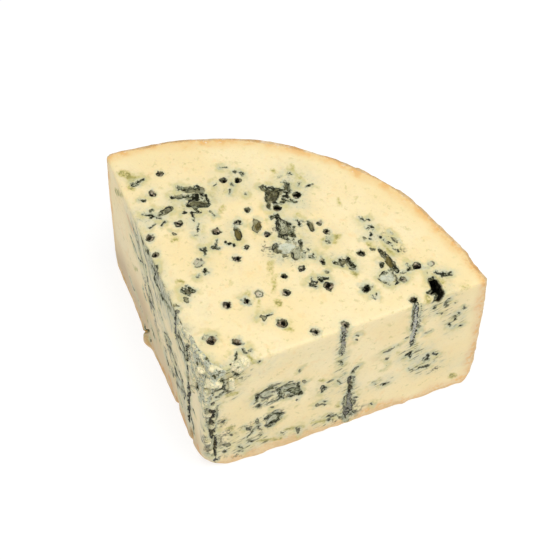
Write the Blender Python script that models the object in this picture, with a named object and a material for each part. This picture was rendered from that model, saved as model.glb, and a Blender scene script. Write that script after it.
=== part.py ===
"""Blue cheese wedge: one upright piece of paste cut from a wheel, with its rind on the curved side and below.

The wedge rests on the wheel's flat end. Its point faces -Y, its curved rind faces +Y, and the origin is
the middle of the bottom of its box. Sizes are in millimetres and become metres in to_metres().
Places on the top are (x, y) from the wedge's point, x to the right and y towards the rind.
Places on a cut face are (s, z): the distance from the point along the cut, and the height.
"""

import math

import bmesh
import bpy
import numpy as np
from mathutils import Vector, noise

# The wheel and the two cuts that make the wedge
HEIGHT = 87.3
RIND_RADIUS = 140.8
WHEEL_CENTRE = np.array((3.4, 10.0))
RIGHT_CUT = math.radians(45.0)
LEFT_CUT = math.radians(133.2)
POINT_FROM_ORIGIN = np.array((-3.58, -75.70))

# How the wedge departs from a clean slice of a cylinder
BARREL = 0.6            # the rind wall draws in this much at the top
BARREL_WAIST = 50.0     # height where the wall is widest
RIM_IN = 8.0            # the rounded bottom rim of the rind: how far in, and how far up
RIM_UP = 15.0
LEAN = 4.5              # the left corner draws in this much at the bottom
LEAN_UP = 70.0
TOP_EDGE = 0.6          # soft edges of the cut faces
BOTTOM_EDGE = 1.2
TIP_TOP = 2.0           # how much of the point is worn off at the top, and at the bottom
TIP_BOTTOM = 21.0
TIP_WEAR_UP = 20.0
CORNER = 1.2            # the corners between a cut and the rind
# Stretches of rind that lie in, or stand proud where less than 0: angle and spread in degrees, depth
RIND_WAVES = ((60.7, 7.0, 1.1), (43.5, 2.2, -1.4), (134.5, 3.0, -1.0))
LUMP = (86.0, 5.0, 2.8)     # a lump of rind low on the left cut: s, spread, how far out
LUMP_UP = 9.0
UNEVEN = 0.8            # gentle waviness of every wall, and its length
UNEVEN_LENGTH = 32.0
AXIS_SHIFTS = (Vector((0, 0, 0)), Vector((31.4, 0, 0)), Vector((0, 47.1, 0)))  # set the three waves apart

TIP_STEPS = 6
SIDE_STEPS = 17
CORNER_STEPS = 4
RIND_STEPS = 38
LEVELS = (0.0, 0.4, 1.2, 3.2, 6.0, 10.0, 15.0, 23.0, 34.0, 45.0, 56.0, 66.0, 75.0, 82.0, 86.0, 87.0, HEIGHT)

# Openings of the needle holes in the top: x, y, radius
NEEDLE_HOLES = (
    (-69, 105.5, 2.0), (-67.5, 92, 2.4), (-37.5, 113.5, 1.8), (-31, 117, 1.9), (-19, 101, 1.5),
    (-21, 92, 1.9), (-4.5, 90.5, 1.6), (-6, 108, 2.1), (0, 119.5, 2.2), (17, 108, 1.6),
    (22.5, 104, 1.5), (43, 98, 1.9), (19, 78, 1.8), (13, 70, 1.6), (-47.5, 79.5, 2.0),
    (-28.5, 82.5, 2.3), (-57, 66, 2.3), (-50, 57.5, 1.9), (-12.5, 71, 2.1), (-28.5, 61, 2.6),
    (-6, 43, 2.3), (1.5, 49, 1.7), (5.5, 55.5, 2.1), (17.5, 61, 2.0), (22.5, 43.5, 2.4),
    (39, 45, 2.3), (35.5, 73, 2.6), (53, 78.5, 2.3), (71, 101.5, 2.1), (77, 105, 1.6),
    (-5, 21, 2.6), (6.8, 25, 2.3),
)
HOLE_RINGS = ((-5.0, 0.75), (-1.0, 0.95), (2.0, 1.15))     # height from the top, share of the radius
HOLE_SIDES = 8

# Open pockets in the top: x, y, half length, half width, turn in degrees, depth
TOP_POCKETS = (
    (-50, 102.5, 5.5, 3.0, 15, 2.6), (-44.5, 95, 5.0, 2.2, 20, 2.6), (-56.5, 84, 4.0, 2.0, 60, 2.2),
    (-18, 85.5, 5.0, 1.9, 120, 2.2), (-11.5, 115, 6.0, 3.8, 75, 3.2), (-10.5, 93.5, 3.6, 2.2, 100, 2.6),
    (2, 98.5, 5.5, 3.2, 125, 3.0), (8, 85, 6.5, 3.4, 25, 2.6), (14, 104.5, 3.4, 1.3, 120, 2.0),
    (39, 89, 5.0, 1.8, 170, 2.2), (57.5, 98.5, 7.5, 2.0, 130, 2.4), (-26.5, 43, 3.4, 2.4, 50, 2.6),
    (83.5, 91.5, 6.5, 3.0, 125, 9.0),
)
# Worn hollows in the cut faces: s, z, half length, half width, turn in degrees, depth
RIGHT_HOLLOWS = (
    (34, 51, 7.0, 6.0, 20, 1.0), (47, 49, 7.0, 6.0, 110, 1.4), (37, 28, 5.5, 5.0, 60, 1.2),
    (25, 24, 5.0, 3.5, 120, 0.8), (121, 32, 5.0, 2.4, 110, 0.9),
)
LEFT_HOLLOWS = (
    (54, 44, 8.0, 4.5, 130, 1.3), (36, 29, 9.0, 5.0, 140, 1.1), (24, 81, 5.0, 3.5, 100, 1.3),
    (20, 7, 5.5, 3.0, 90, 3.0), (41, 4, 5.0, 2.6, 80, 3.0),
)
# Needle channels laid open by the cuts, as upright grooves: s, lowest and highest z, radius
RIGHT_CHANNELS = ((72.8, 66, 92, 2.0), (79, 4, 49, 2.0), (111.8, 46, 92, 2.2), (4.6, 12, 62, 2.1))
LEFT_CHANNELS = ((22.5, 12, 76, 2.0), (40, 60, 92, 1.6))
CHANNEL_SIDES = 8
CHANNEL_STEP = 8.0
CHANNEL_WAVE = 9.0      # over what height a channel wanders
CHANNEL_WANDER = 0.5    # how far, as a share of its radius
CHANNEL_SWELL = 0.35    # how much its radius varies, and the share of it left at the lower end
CHANNEL_END = 0.45
HOLLOW_LUMPS = 0.35     # how lumpy the pockets and hollows are, and how many lumps
HOLLOW_LUMP_COUNT = 1.7

# The crumbled front corner of the top
CRUMBLE_REACH = 21.0    # how far back from the point it goes
CRUMBLE_SINK = 6.0      # how far it has sunk at the point
CRUMBLE_CRAGS = 5.0     # height of its crags, and their size
CRUMBLE_GRAIN = 6.5
CRUMBLE_FINE = 0.4      # the small crags on them: how high and how wide, as shares
CRUMBLE_FINE_GRAIN = 0.45
CRUMBLE_V = 0.2         # how much less it reaches away from the middle
CRUMBLE_CELL = 2.0
CRUMBLE_CLEAR = 1.5     # the cutter stays this far above whole paste
CRUMBLE_CEILING = 12.0  # how far above the top the cutter ends
CRUMBLE_MARGIN = 6.0
CRUMBLE_FRONT = -8.0    # where the cutter starts, in front of the point

PASTE_COLOUR = (0.91, 0.76, 0.46, 1.0)
PASTE_ROUGHNESS = 0.55


def direction(angle):
    return np.array((math.cos(angle), math.sin(angle)))


def quarter_round(depth, reach, distance):
    """How far a rounded edge draws in at this distance from its end: depth at 0, nothing from reach on."""
    if distance >= reach:
        return 0.0
    return depth * (1 - math.sqrt(1 - (1 - distance / reach) ** 2))


def bell(x, middle, spread):
    return math.exp(-(((x - middle) / spread) ** 2))


def waver(p):
    """A smooth wandering vector, each part from -1 to 1."""
    return Vector([noise.noise(p + shift) for shift in AXIS_SHIFTS])


def cut_inset(z):
    bottom = quarter_round(BOTTOM_EDGE, BOTTOM_EDGE, z)
    top = quarter_round(TOP_EDGE, TOP_EDGE, HEIGHT - z)
    return bottom + top


def rind_inset(z):
    barrel = BARREL * max(0.0, (z - BARREL_WAIST) / (HEIGHT - BARREL_WAIST)) ** 2
    return barrel + quarter_round(RIM_IN, RIM_UP, z) + quarter_round(TOP_EDGE, TOP_EDGE, HEIGHT - z)


def tip_wear(z):
    low = max(0.0, 1 - z / TIP_WEAR_UP) ** 2
    return TIP_TOP + (TIP_BOTTOM - TIP_TOP) * low


def meets_rind(start, heading, radius):
    """Where a line from start meets the rind of that radius."""
    offset = start - WHEEL_CENTRE
    along = heading @ offset
    return start + heading * (math.sqrt(along**2 - offset @ offset + radius**2) - along)


def rind_point(angle, radius):
    flat = sum(depth * bell(math.degrees(angle), middle, spread) for middle, spread, depth in RIND_WAVES)
    return WHEEL_CENTRE + direction(angle) * (radius - flat)


def angle_on_wheel(p):
    return math.atan2(p[1] - WHEEL_CENTRE[1], p[0] - WHEEL_CENTRE[0])


def straight(a, b, steps):
    """Points from a towards b, without b."""
    return [a + (b - a) * i / steps for i in range(steps)]


def bend(a, corner, b, steps):
    """Points round a soft corner from a towards b, without b."""
    shares = [i / steps for i in range(steps)]
    return [a * (1 - t) ** 2 + corner * 2 * t * (1 - t) + b * t**2 for t in shares]


def outline(z):
    """The wedge's outline at height z, anticlockwise from the point's left side."""
    right, left = direction(RIGHT_CUT), direction(LEFT_CUT)
    half_angle = (LEFT_CUT - RIGHT_CUT) / 2
    tip = direction((LEFT_CUT + RIGHT_CUT) / 2) * cut_inset(z) / math.sin(half_angle)
    radius = RIND_RADIUS - rind_inset(z)
    right_corner = meets_rind(tip, right, radius)
    left_corner = meets_rind(tip, left, radius)
    right_start, left_start = tip + right * tip_wear(z), tip + left * tip_wear(z)
    right_end, left_end = right_corner - right * CORNER, left_corner - left * CORNER
    first = angle_on_wheel(right_corner) + CORNER / radius
    last = angle_on_wheel(left_corner) - CORNER / radius
    points = bend(left_start, tip, right_start, TIP_STEPS)
    points += straight(right_start, right_end, SIDE_STEPS)
    points += bend(right_end, right_corner, rind_point(first, radius), CORNER_STEPS)
    for i in range(RIND_STEPS):
        points.append(rind_point(first + (last - first) * i / RIND_STEPS, radius))
    points += bend(rind_point(last, radius), left_corner, left_end, CORNER_STEPS)
    points += straight(left_end, left_start, SIDE_STEPS)
    return [Vector((p[0], p[1], z)) for p in points]


def shaped(p):
    """A point of a clean slice, moved to where the uneven wedge has it."""
    left = direction(LEFT_CUT)
    outward = np.array((-left[1], left[0]))
    flat = np.array((p.x, p.y))
    lean = LEAN * min(1.0, max(0.0, -p.x / 100)) ** 2 * max(0.0, 1 - p.z / LEAN_UP)
    flat = flat - left * lean
    s, spread, out = LUMP
    near_left_cut = max(0.0, 1 - abs(flat @ outward) / 6)
    flat = flat + outward * out * bell(flat @ left, s, spread) * near_left_cut * max(0.0, 1 - p.z / LUMP_UP)
    wave = waver(p / UNEVEN_LENGTH) * UNEVEN
    return Vector((flat[0] + wave.x, flat[1] + wave.y, p.z))


def on_top(x, y, z=HEIGHT):
    return Vector((x, y, z))


def on_cut(angle, s, z):
    along = direction(angle) * s
    return Vector((along[0], along[1], z))


def to_metres(mesh):
    """From millimetres from the wedge's point to metres from the origin."""
    shift = Vector((POINT_FROM_ORIGIN[0], POINT_FROM_ORIGIN[1], 0))
    for vertex in mesh.verts:
        vertex.co = (vertex.co + shift) / 1000


def add_object(name, mesh, collection):
    to_metres(mesh)
    mesh.normal_update()
    bmesh.ops.recalc_face_normals(mesh, faces=mesh.faces)
    data = bpy.data.meshes.new(name)
    mesh.to_mesh(data)
    mesh.free()
    made = bpy.data.objects.new(name, data)
    collection.objects.link(made)
    return made


def add_cutter(name, mesh, collection):
    cutter = add_object(name, mesh, collection)
    cutter.hide_render = True
    cutter.display_type = "WIRE"


def loft(rings):
    """A closed mesh through rings of equally many points."""
    mesh = bmesh.new()
    rows = [[mesh.verts.new(p) for p in ring] for ring in rings]
    for low, high in zip(rows, rows[1:]):
        for i in range(len(low)):
            j = (i + 1) % len(low)
            mesh.faces.new((low[i], low[j], high[j], high[i]))
    mesh.faces.new(list(reversed(rows[0])))
    mesh.faces.new(rows[-1])
    return mesh


def tube(centres, radii, across, up, sides):
    """A closed tube round a line of centres, in the plane of across and up."""
    turns = [2 * math.pi * i / sides for i in range(sides)]
    rings = []
    for centre, radius in zip(centres, radii):
        rings.append([centre + (across * math.cos(t) + up * math.sin(t)) * radius for t in turns])
    return loft(rings)


def make_wedge(collection):
    mesh = loft([[shaped(p) for p in outline(z)] for z in LEVELS])
    bmesh.ops.triangulate(mesh, faces=[f for f in mesh.faces if len(f.verts) == 4])
    return add_object("cheese_wedge", mesh, collection)


def cut_needle_holes(collection):
    for i, (x, y, radius) in enumerate(NEEDLE_HOLES):
        centres = [on_top(x, y, HEIGHT + rise) for rise, _ in HOLE_RINGS]
        radii = [radius * share for _, share in HOLE_RINGS]
        mesh = tube(centres, radii, Vector((1, 0, 0)), Vector((0, 1, 0)), HOLE_SIDES)
        add_cutter(f"needle_hole_{i}", mesh, collection)


def cut_hollow(name, place, axes, half_sizes, turn, collection):
    """A lumpy ellipsoid. axes are its two directions in the face, and the face's outward normal."""
    mesh = bmesh.new()
    bmesh.ops.create_icosphere(mesh, subdivisions=2, radius=1.0)
    along = axes[0] * math.cos(turn) + axes[1] * math.sin(turn)
    aside = axes[1] * math.cos(turn) - axes[0] * math.sin(turn)
    for vertex in mesh.verts:
        lumpy = vertex.co * (1 + HOLLOW_LUMPS * noise.noise(vertex.co * HOLLOW_LUMP_COUNT + place))
        sizes = (lumpy.x * half_sizes[0], lumpy.y * half_sizes[1], lumpy.z * half_sizes[2])
        vertex.co = place + along * sizes[0] + aside * sizes[1] + axes[2] * sizes[2]
    add_cutter(name, mesh, collection)


def cut_pockets(collection):
    axes = (Vector((1, 0, 0)), Vector((0, 1, 0)), Vector((0, 0, 1)))
    for i, (x, y, long, wide, turn, depth) in enumerate(TOP_POCKETS):
        cut_hollow(f"pocket_{i}", on_top(x, y), axes, (long, wide, depth), math.radians(turn), collection)


def cut_face_marks(name, angle, outward_turn, hollows, channels, collection):
    """The hollows and grooves of one cut face."""
    along = Vector((*direction(angle), 0))
    up = Vector((0, 0, 1))
    outward = Vector((*direction(angle + outward_turn), 0))
    for i, (s, z, long, wide, turn, depth) in enumerate(hollows):
        place = on_cut(angle, s, z)
        sizes = (long, wide, depth)
        cut_hollow(f"{name}_hollow_{i}", place, (along, up, outward), sizes, math.radians(turn), collection)
    for i, (s, low, high, radius) in enumerate(channels):
        steps = max(3, round((high - low) / CHANNEL_STEP))
        heights = [low + (high - low) * k / steps for k in range(steps + 1)]
        centres, radii = [], []
        for z in heights:
            wander = waver(Vector((s, i, z / CHANNEL_WAVE)))
            centres.append(on_cut(angle, s + wander.x * radius * CHANNEL_WANDER, z))
            radii.append(radius * (1 + CHANNEL_SWELL * wander.y) * (CHANNEL_END if z == low else 1.0))
        mesh = tube(centres, radii, along, outward, CHANNEL_SIDES)
        add_cutter(f"{name}_channel_{i}", mesh, collection)


def crumbled_floor(x, y):
    """Height of the crumbled corner's surface, above the top where nothing is gone."""
    share = 1 - (y + CRUMBLE_V * abs(x)) / CRUMBLE_REACH
    if share <= 0:
        return HEIGHT + CRUMBLE_CLEAR
    crag = noise.noise(Vector((x, y, 3.0)) / CRUMBLE_GRAIN)
    fine = noise.noise(Vector((x, y, 9.0)) / (CRUMBLE_GRAIN * CRUMBLE_FINE_GRAIN))
    crags = CRUMBLE_CRAGS * (crag + CRUMBLE_FINE * fine) * min(1.0, share * 2.5)
    sink = CRUMBLE_SINK * min(1.0, share * 1.4) + crags
    return HEIGHT + CRUMBLE_CLEAR * (1 - min(1.0, share * 5)) - sink


def cut_crumbled_corner(collection):
    """A block standing on the crumbled surface, which takes away what has broken off above it."""
    reach = CRUMBLE_REACH + CRUMBLE_MARGIN
    cells = round(2 * reach / CRUMBLE_CELL)
    xs = [-reach + 2 * reach * i / cells for i in range(cells + 1)]
    rows = round(cells * 0.7)
    ys = [CRUMBLE_FRONT + (reach - CRUMBLE_FRONT) * j / rows for j in range(rows + 1)]
    mesh = bmesh.new()
    floor = [[mesh.verts.new((x, y, crumbled_floor(x, y))) for x in xs] for y in ys]
    for j in range(rows):
        for i in range(cells):
            mesh.faces.new((floor[j][i], floor[j + 1][i], floor[j + 1][i + 1], floor[j][i + 1]))
    skirt = bmesh.ops.extrude_face_region(mesh, geom=list(mesh.faces))
    for part in skirt["geom"]:
        if isinstance(part, bmesh.types.BMVert):
            part.co.z = HEIGHT + CRUMBLE_CEILING
    bmesh.ops.triangulate(mesh, faces=list(mesh.faces))
    add_cutter("crumbled_corner", mesh, collection)


def paste_material():
    paste = bpy.data.materials.new("cheese_paste")
    paste.use_nodes = True
    shader = paste.node_tree.nodes["Principled BSDF"]
    shader.inputs["Base Color"].default_value = PASTE_COLOUR
    shader.inputs["Roughness"].default_value = PASTE_ROUGHNESS
    shader.inputs["Metallic"].default_value = 0.0
    return paste


def cut_wedge(wedge, cutters):
    difference = wedge.modifiers.new("pits_and_channels", "BOOLEAN")
    difference.operation = "DIFFERENCE"
    difference.operand_type = "COLLECTION"
    difference.collection = cutters
    difference.solver = "EXACT"


def build():
    for old in list(bpy.data.objects):
        bpy.data.objects.remove(old)
    scene_collection = bpy.context.scene.collection
    cutters = bpy.data.collections.new("cutters")
    scene_collection.children.link(cutters)
    wedge = make_wedge(scene_collection)
    wedge.data.materials.append(paste_material())
    wedge.data.shade_smooth()
    wedge.data.set_sharp_from_angle(angle=math.radians(35))
    cut_needle_holes(cutters)
    cut_pockets(cutters)
    cut_face_marks("right", RIGHT_CUT, -math.pi / 2, RIGHT_HOLLOWS, RIGHT_CHANNELS, cutters)
    cut_face_marks("left", LEFT_CUT, math.pi / 2, LEFT_HOLLOWS, LEFT_CHANNELS, cutters)
    cut_crumbled_corner(cutters)
    cut_wedge(wedge, cutters)


build()
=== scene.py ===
"""The looks of the blue cheese wedge.

The visible surface is worked out as a distance field: a clean slice of a wheel, roughened, with needle
holes, pockets and channels carved out of it and a point that has crumbled. The field is meshed, and each
vertex is told how far it is from the mould, the holes and the rind. The material paints it by that.

Lengths are in millimetres from the bottom of the wedge's point: x to the right, y towards the rind, z up.
Places on the top are (x, y). Places on a cut face are (s, z): the distance from the point along the cut,
and the height. Everything becomes metres in the frame's own axes where the mesh is made.
"""

import math

import bpy
import numpy as np
from mathutils import Matrix, Vector


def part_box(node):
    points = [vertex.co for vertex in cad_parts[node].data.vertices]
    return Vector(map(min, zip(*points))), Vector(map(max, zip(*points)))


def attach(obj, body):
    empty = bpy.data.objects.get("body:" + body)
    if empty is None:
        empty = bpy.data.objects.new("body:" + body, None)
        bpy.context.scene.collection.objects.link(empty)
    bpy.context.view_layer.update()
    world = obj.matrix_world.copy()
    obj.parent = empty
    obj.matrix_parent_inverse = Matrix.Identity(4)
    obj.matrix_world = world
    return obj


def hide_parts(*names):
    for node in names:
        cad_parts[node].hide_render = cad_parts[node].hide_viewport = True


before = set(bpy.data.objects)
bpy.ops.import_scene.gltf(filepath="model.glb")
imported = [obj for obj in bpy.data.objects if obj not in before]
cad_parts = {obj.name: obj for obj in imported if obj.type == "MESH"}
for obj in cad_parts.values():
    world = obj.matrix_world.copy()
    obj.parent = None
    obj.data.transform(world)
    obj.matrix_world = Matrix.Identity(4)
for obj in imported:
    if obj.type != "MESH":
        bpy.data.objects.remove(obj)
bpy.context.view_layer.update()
cheese_low, cheese_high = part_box("cheese_wedge")

MM = 0.001

# ---------------------------------------------------------------- the wedge's form, as in the CAD solid
HEIGHT = (cheese_high.z - cheese_low.z) / MM
POINT_FROM_MIDDLE = (-3.58, -75.70)     # from the middle of the CAD box
WHEEL_CENTRE = (3.4, 10.0)
RIND_RADIUS = 140.8
RIGHT_CUT = math.radians(45.0)
LEFT_CUT = math.radians(133.2)
RIND_WAVES = ((60.7, 7.0, 1.1), (43.5, 2.2, -1.4), (134.5, 3.0, -1.0))      # degrees, spread, depth
BARREL = 0.6            # how far the rind draws in from its waist to the top
BARREL_WAIST = 50.0
RIM_IN = 8.0            # the rounded bottom rim
RIM_UP = 15.0
LEAN = 4.5              # how far the rind's left end draws in at the bottom
LEAN_UP = 70.0
LUMP = (86.0, 5.0, 2.8)     # on the foot of the left cut: s, spread, how far it stands out
LUMP_UP = 9.0
FOOT_FLARE = 1.8        # how far the foot of the right cut stands out
FOOT_FLARE_UP = 14.0
TIP_TOP = 2.0           # how wide the worn point is, at the top and at the bottom
TIP_BOTTOM = 21.0
TIP_WEAR_UP = 20.0
TOP_EDGE = 1.8          # widths of the soft edges
BOTTOM_EDGE = 3.0
CORNER = 2.6

# ---------------------------------------------------------------- meshing
CELL = 0.5
TRIANGLES = 190000
MARGIN = 2.0
SKIN = 2.6              # roughness is worked out this far either side of the clean surface
FAR = 9.0               # a distance past which nothing shows

# ---------------------------------------------------------------- needle holes: x, y, radius, how filled
# (1 full, 0 open in the middle, less than 0 open nearly to the rim)
NEEDLE_HOLES = (
    (-69, 105.5, 1.7, 0.3), (-67.5, 92, 2.1, 0.35), (-37.5, 113.5, 1.6, 0.3), (-31, 117, 1.8, -0.5),
    (-19, 101, 1.5, 0.3), (-21, 92, 1.9, 0.6), (-4.5, 90.5, 1.6, 0.1), (-6, 108, 2.1, -0.3),
    (0, 119.5, 2.2, -0.6), (17, 108, 1.5, 0.5), (22.5, 104, 1.4, 0.2), (43, 98, 1.9, -0.1),
    (19, 78, 1.8, 0.6), (13, 70, 1.6, 0.3), (-47.5, 79.5, 2, 0.5), (-28.5, 82.5, 2.2, 0.1),
    (-57, 66, 2.2, 0.4), (-50, 57.5, 1.9, 0.4), (-12.5, 71, 2.1, 0.4), (-28.5, 61, 2.6, 0.9),
    (-6, 43, 2.2, 0.3), (1.5, 49, 1.6, 0.1), (5.5, 55.5, 2, 1), (17.5, 61, 2, 0.4), (22.5, 43.5, 2.4, 0.2),
    (39, 45, 2.2, 0.5), (35.5, 73, 2.6, 0.2), (53, 78.5, 2.3, -0.6), (71, 101.5, 2.1, -0.5),
    (77, 105.3, 1.6, 1), (-5, 21, 2.5, 0), (6.8, 25, 2.2, 0), (67.5, 91, 1.3, 0.5), (-10.5, 79.3, 1.2, 0.4),
    (51, 54, 2.1, 0.3), (76.5, 81, 1.9, -0.5), (26.8, 85.8, 1.6, 0.6),
)
HOLE_DEPTH = 4.2
HOLE_FLOOR = 0.5        # how far the whole of a hole lies below the top
HOLE_WALL = 0.98        # where the wall is, in radiuses
# the open cavity by the right edge: its middle and its two short legs, as strokes
CAVITY = (
    (81.2, 94.6, 84.4, 90.8, 1.3), (82.6, 95.2, 86.8, 90.2, 1.6), (84.4, 90.6, 83.2, 88.0, 0.6),
    (87.2, 89.8, 87.8, 87.4, 0.8),
)
CAVITY_DEPTH = 13.0
CAVITY_LEAN = 0.32      # how far it runs in under the top for each millimetre down

# ---------------------------------------------------------------- open pockets
# x, y, half length, half width, turn in degrees, depth and, for those in the top, how pale the floor is
# (1 grey-white, 0 dark, less than 0 brown)
TOP_POCKETS = (
    (-50, 102.5, 5.5, 2.2, 15, 2.2, 0.3), (-44, 95.3, 4.8, 1.9, 20, 2.4, 0), (-54, 96, 4, 0.9, 28, 1.2, 0.3),
    (-56.8, 84, 3.8, 1.8, 60, 2.2, 0.3), (-18, 85.5, 4, 1.3, 122, 1.8, -0.5),
    (-11, 115.5, 5.2, 3.2, 70, 3, 0), (-14, 117, 4, 2, 10, 2, 0), (-10.8, 108.5, 2.4, 1.4, 110, 2.2, 0),
    (-6, 122.5, 3.2, 1, 130, 2, 0), (-10.5, 93.5, 3.2, 1.8, 100, 1.8, -0.9), (1, 98.5, 5, 2.6, 125, 2, 0.45),
    (6.7, 95.8, 2.4, 1.4, 150, 3, 0), (7.4, 87, 5.4, 3.4, 25, 1.5, 1),
    (13.6, 86.6, 4.2, 2.2, 100, 1.4, 0.45), (14, 104.3, 3, 1.1, 120, 1.6, 0.2),
    (36, 89, 2.6, 1.4, 60, 2, 0.4), (41, 88.7, 3, 1.2, 150, 1.8, 0.7), (57, 99.2, 5, 1.5, 130, 2, -0.4),
    (52, 102.8, 2.4, 1.2, 160, 1.6, 0.1), (-26.7, 43.3, 3.2, 1.8, 30, 2.4, 0),
    (60.6, 88.6, 4.4, 2.8, 20, 1, 0.9), (28, 72, 2, 1.2, 40, 1, 0.6),
)
RIGHT_POCKETS = (
    (33, 52, 4, 3, 20, 0.9), (46, 50, 5, 4, 110, 1.3), (50, 44, 3.6, 1.8, 140, 1.2),
    (38, 29, 4.6, 3.2, 60, 1.3), (28, 23, 4, 1.6, 130, 0.8), (64, 41, 3, 1, 100, 0.8),
    (99, 24, 2.2, 0.9, 160, 0.8), (129, 81, 1.6, 0.9, 40, 0.8),
)
LEFT_POCKETS = (
    (54, 45, 6, 3, 130, 1.3), (38, 28, 8, 3, 140, 1.2), (24, 82, 5, 2.4, 110, 2), (20, 7, 5, 2.8, 90, 3.2),
    (41, 4, 4.6, 2.4, 80, 3.2), (87, 8, 7, 1, 125, 1.4),
)
# upright channels laid open: s, lowest and highest z, radius, how far it wanders, how pale its lining is
RIGHT_CHANNELS = (
    (72.9, 64, 92, 1.0, 0.7, 0.7), (79.2, 3, 44, 1.0, 1.6, 0.1), (79.2, 5, 27, 1.9, 1.2, 0.5),
    (112.2, 50, 92, 1.15, 0.6, 1.0), (4.2, 28, 62, 1.3, 0.9, 0.1), (5.8, 3, 32, 0.55, 0.6, 0.0),
)
LEFT_CHANNELS = ((22.8, 12, 84, 1.4, 2.2, 0.0), (40.5, 62, 92, 1.0, 1.2, 0.4))
# pale beads of curd in the crevice of the right face: s, z, radius
BEADS = (
    (4.2, 59, 2.0), (3.8, 41, 1.7), (4.6, 47.5, 1.1), (2.6, 52, 1.3), (5.2, 33, 0.9), (3.4, 17, 1.2),
    (2.2, 26, 1.0),
)
BEAD_ASIDE = 0.5        # how much farther along the cut the beads lie

# ---------------------------------------------------------------- mould: lines through points, by half width
def strokes(lines_by_half_width):
    """Straight strokes (a, b, c, d, half width) of lines that run through (a, b), (c, d) and so on."""
    return tuple(
        (*line[i:i + 4], half)
        for half, lines in lines_by_half_width.items() for line in lines for i in range(0, len(line) - 2, 2)
    )


TOP_DARK = strokes({
    0.3: ((-44, 89, -41, 84), (-38, 83, -36.2, 79), (5, 83, 8.4, 81.8)),
    0.4: ((-26, 78, -25, 74.4), (2, 86.4, 2.4, 84.4), (8.6, 19.6, 10, 12.4)),
    0.5: ((-32, 107, -32.5, 109.5), (-41, 109, -40, 110.4), (-48, 87, -46.6, 87.2), (-20.6, 90, -20, 87),
        (3, 127, 5.4, 129), (-1.5, 127.5, -1, 126), (21.6, 88.4, 23.4, 85.6), (40, 113.6, 41.4, 113.6),
        (44, 107.8, 44.4, 107.8), (47.6, 111.6, 48.4, 111.4), (50.4, 110.6, 51, 110.4), (65.2, 87, 65.4, 89),
        (81, 101.4, 84, 100.4), (88.4, 92, 88.6, 90), (14, 22.6, 14.2, 22.6), (10.2, 12, 11.4, 8),
        (58.4, 77.8, 58.8, 76.6)),
    0.6: ((-24, 110, -23.8, 110.3), (-60, 71.6, -58.6, 74.4), (-54.4, 76, -53.6, 78),
        (-29.4, 71, -27.8, 67.2), (-31, 69, -28, 69.2), (-4, 118, -3, 116), (7, 104, 8.4, 102.2),
        (13.4, 103.4, 16, 102.4), (18, 89.6, 18.2, 89.6), (25.6, 74.4, 27.4, 72.6), (30.4, 76, 32.6, 77.4),
        (38, 119.6, 38.6, 119.6), (84.6, 101, 88, 102.4), (82.4, 91, 81.6, 87.4), (14.2, 44.4, 16, 47.2),
        (20.6, 19, 21.4, 18.2), (-19, 20.6, -18.8, 20.2)),
    0.7: ((-33, 113.6, -32.6, 113.2), (-71, 85.5, -69.2, 86.6), (-8.8, 124.6, -6.8, 124.4),
        (-6, 114.6, -2, 113.6), (-8, 131, -7.6, 131), (-4, 103.6, -1.4, 101.2), (43, 89, 41.4, 87),
        (29, 70, 29.4, 70), (35, 118.6, 36.6, 118), (43.4, 111.4, 43.8, 110), (83.6, 101.4, 87.4, 104.4),
        (85, 88.6, 86.6, 85.4), (0, 49, 3, 48), (11.2, 22, 12.4, 21), (-15, 12.6, -13.6, 12),
        (-8, 10.4, -6, 8.6), (57.2, 76, 58.6, 74.8)),
    0.8: ((-53, 101.8, -49, 104.6), (-35, 121.4, -34.6, 121.2), (-77, 95.4, -75.4, 98.4),
        (-59.2, 81.4, -58, 83), (-26.4, 72.6, -23, 73.2), (-18.4, 84, -16, 82.6), (-17, 118, -14.4, 116.4),
        (-8.6, 118, -8.4, 113), (0.4, 101.6, 4, 101), (12, 106.4, 13, 104.4), (12.8, 93, 14.4, 89.4),
        (26.4, 70, 27, 70.2), (20.4, 44, 24.4, 43), (-8.6, 20.4, -5, 20.2), (-5, 20.3, -3.2, 22),
        (8, 24.6, 9.4, 25.4), (52, 80.6, 54.6, 81)),
    0.9: ((-49, 104.8, -46.5, 104.2), (-57, 94, -50, 97.4), (-14.4, 115, -11, 108), (-6.8, 124, -4, 120),
        (-1.4, 115.4, 1, 115.6), (-7, 101.4, -4, 103.6), (-2.6, 100, 0, 96), (0, 95, 3, 92.6),
        (38.6, 91, 43, 88.2), (50.6, 103.6, 54, 101.4), (54.2, 96.6, 55, 94.6), (60, 97, 63, 94.6),
        (66.8, 90.6, 68.2, 91), (-28, 45.6, -24, 44.4), (-11, 12.6, -9.6, 11), (-8, 7, -3, 8.4)),
    1: ((-31.5, 121.5, -30, 121), (-14, 118.4, -8, 119.6), (-11, 107.6, -9.4, 106.8), (34.8, 90, 36.8, 87.6),
        (-29, 42.6, -25.4, 42), (0, 5, 6, 1.6), (50.6, 78.6, 53, 77.4)),
    1.1: ((-47.4, 51.5, -46.6, 49.6),),
    1.2: ((-57, 100.6, -53, 101.5), (-78.4, 93.6, -76.8, 94.6)),
    1.3: ((-48, 93, -44, 93.6),),
    1.4: ((5, 97, 8.4, 95),),
    1.5: ((-17.4, 17.4, -13, 13.4),),
    1.8: ((-46, 94, -39.8, 97), (80.6, 96.4, 87.4, 89.4)),
})
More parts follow.
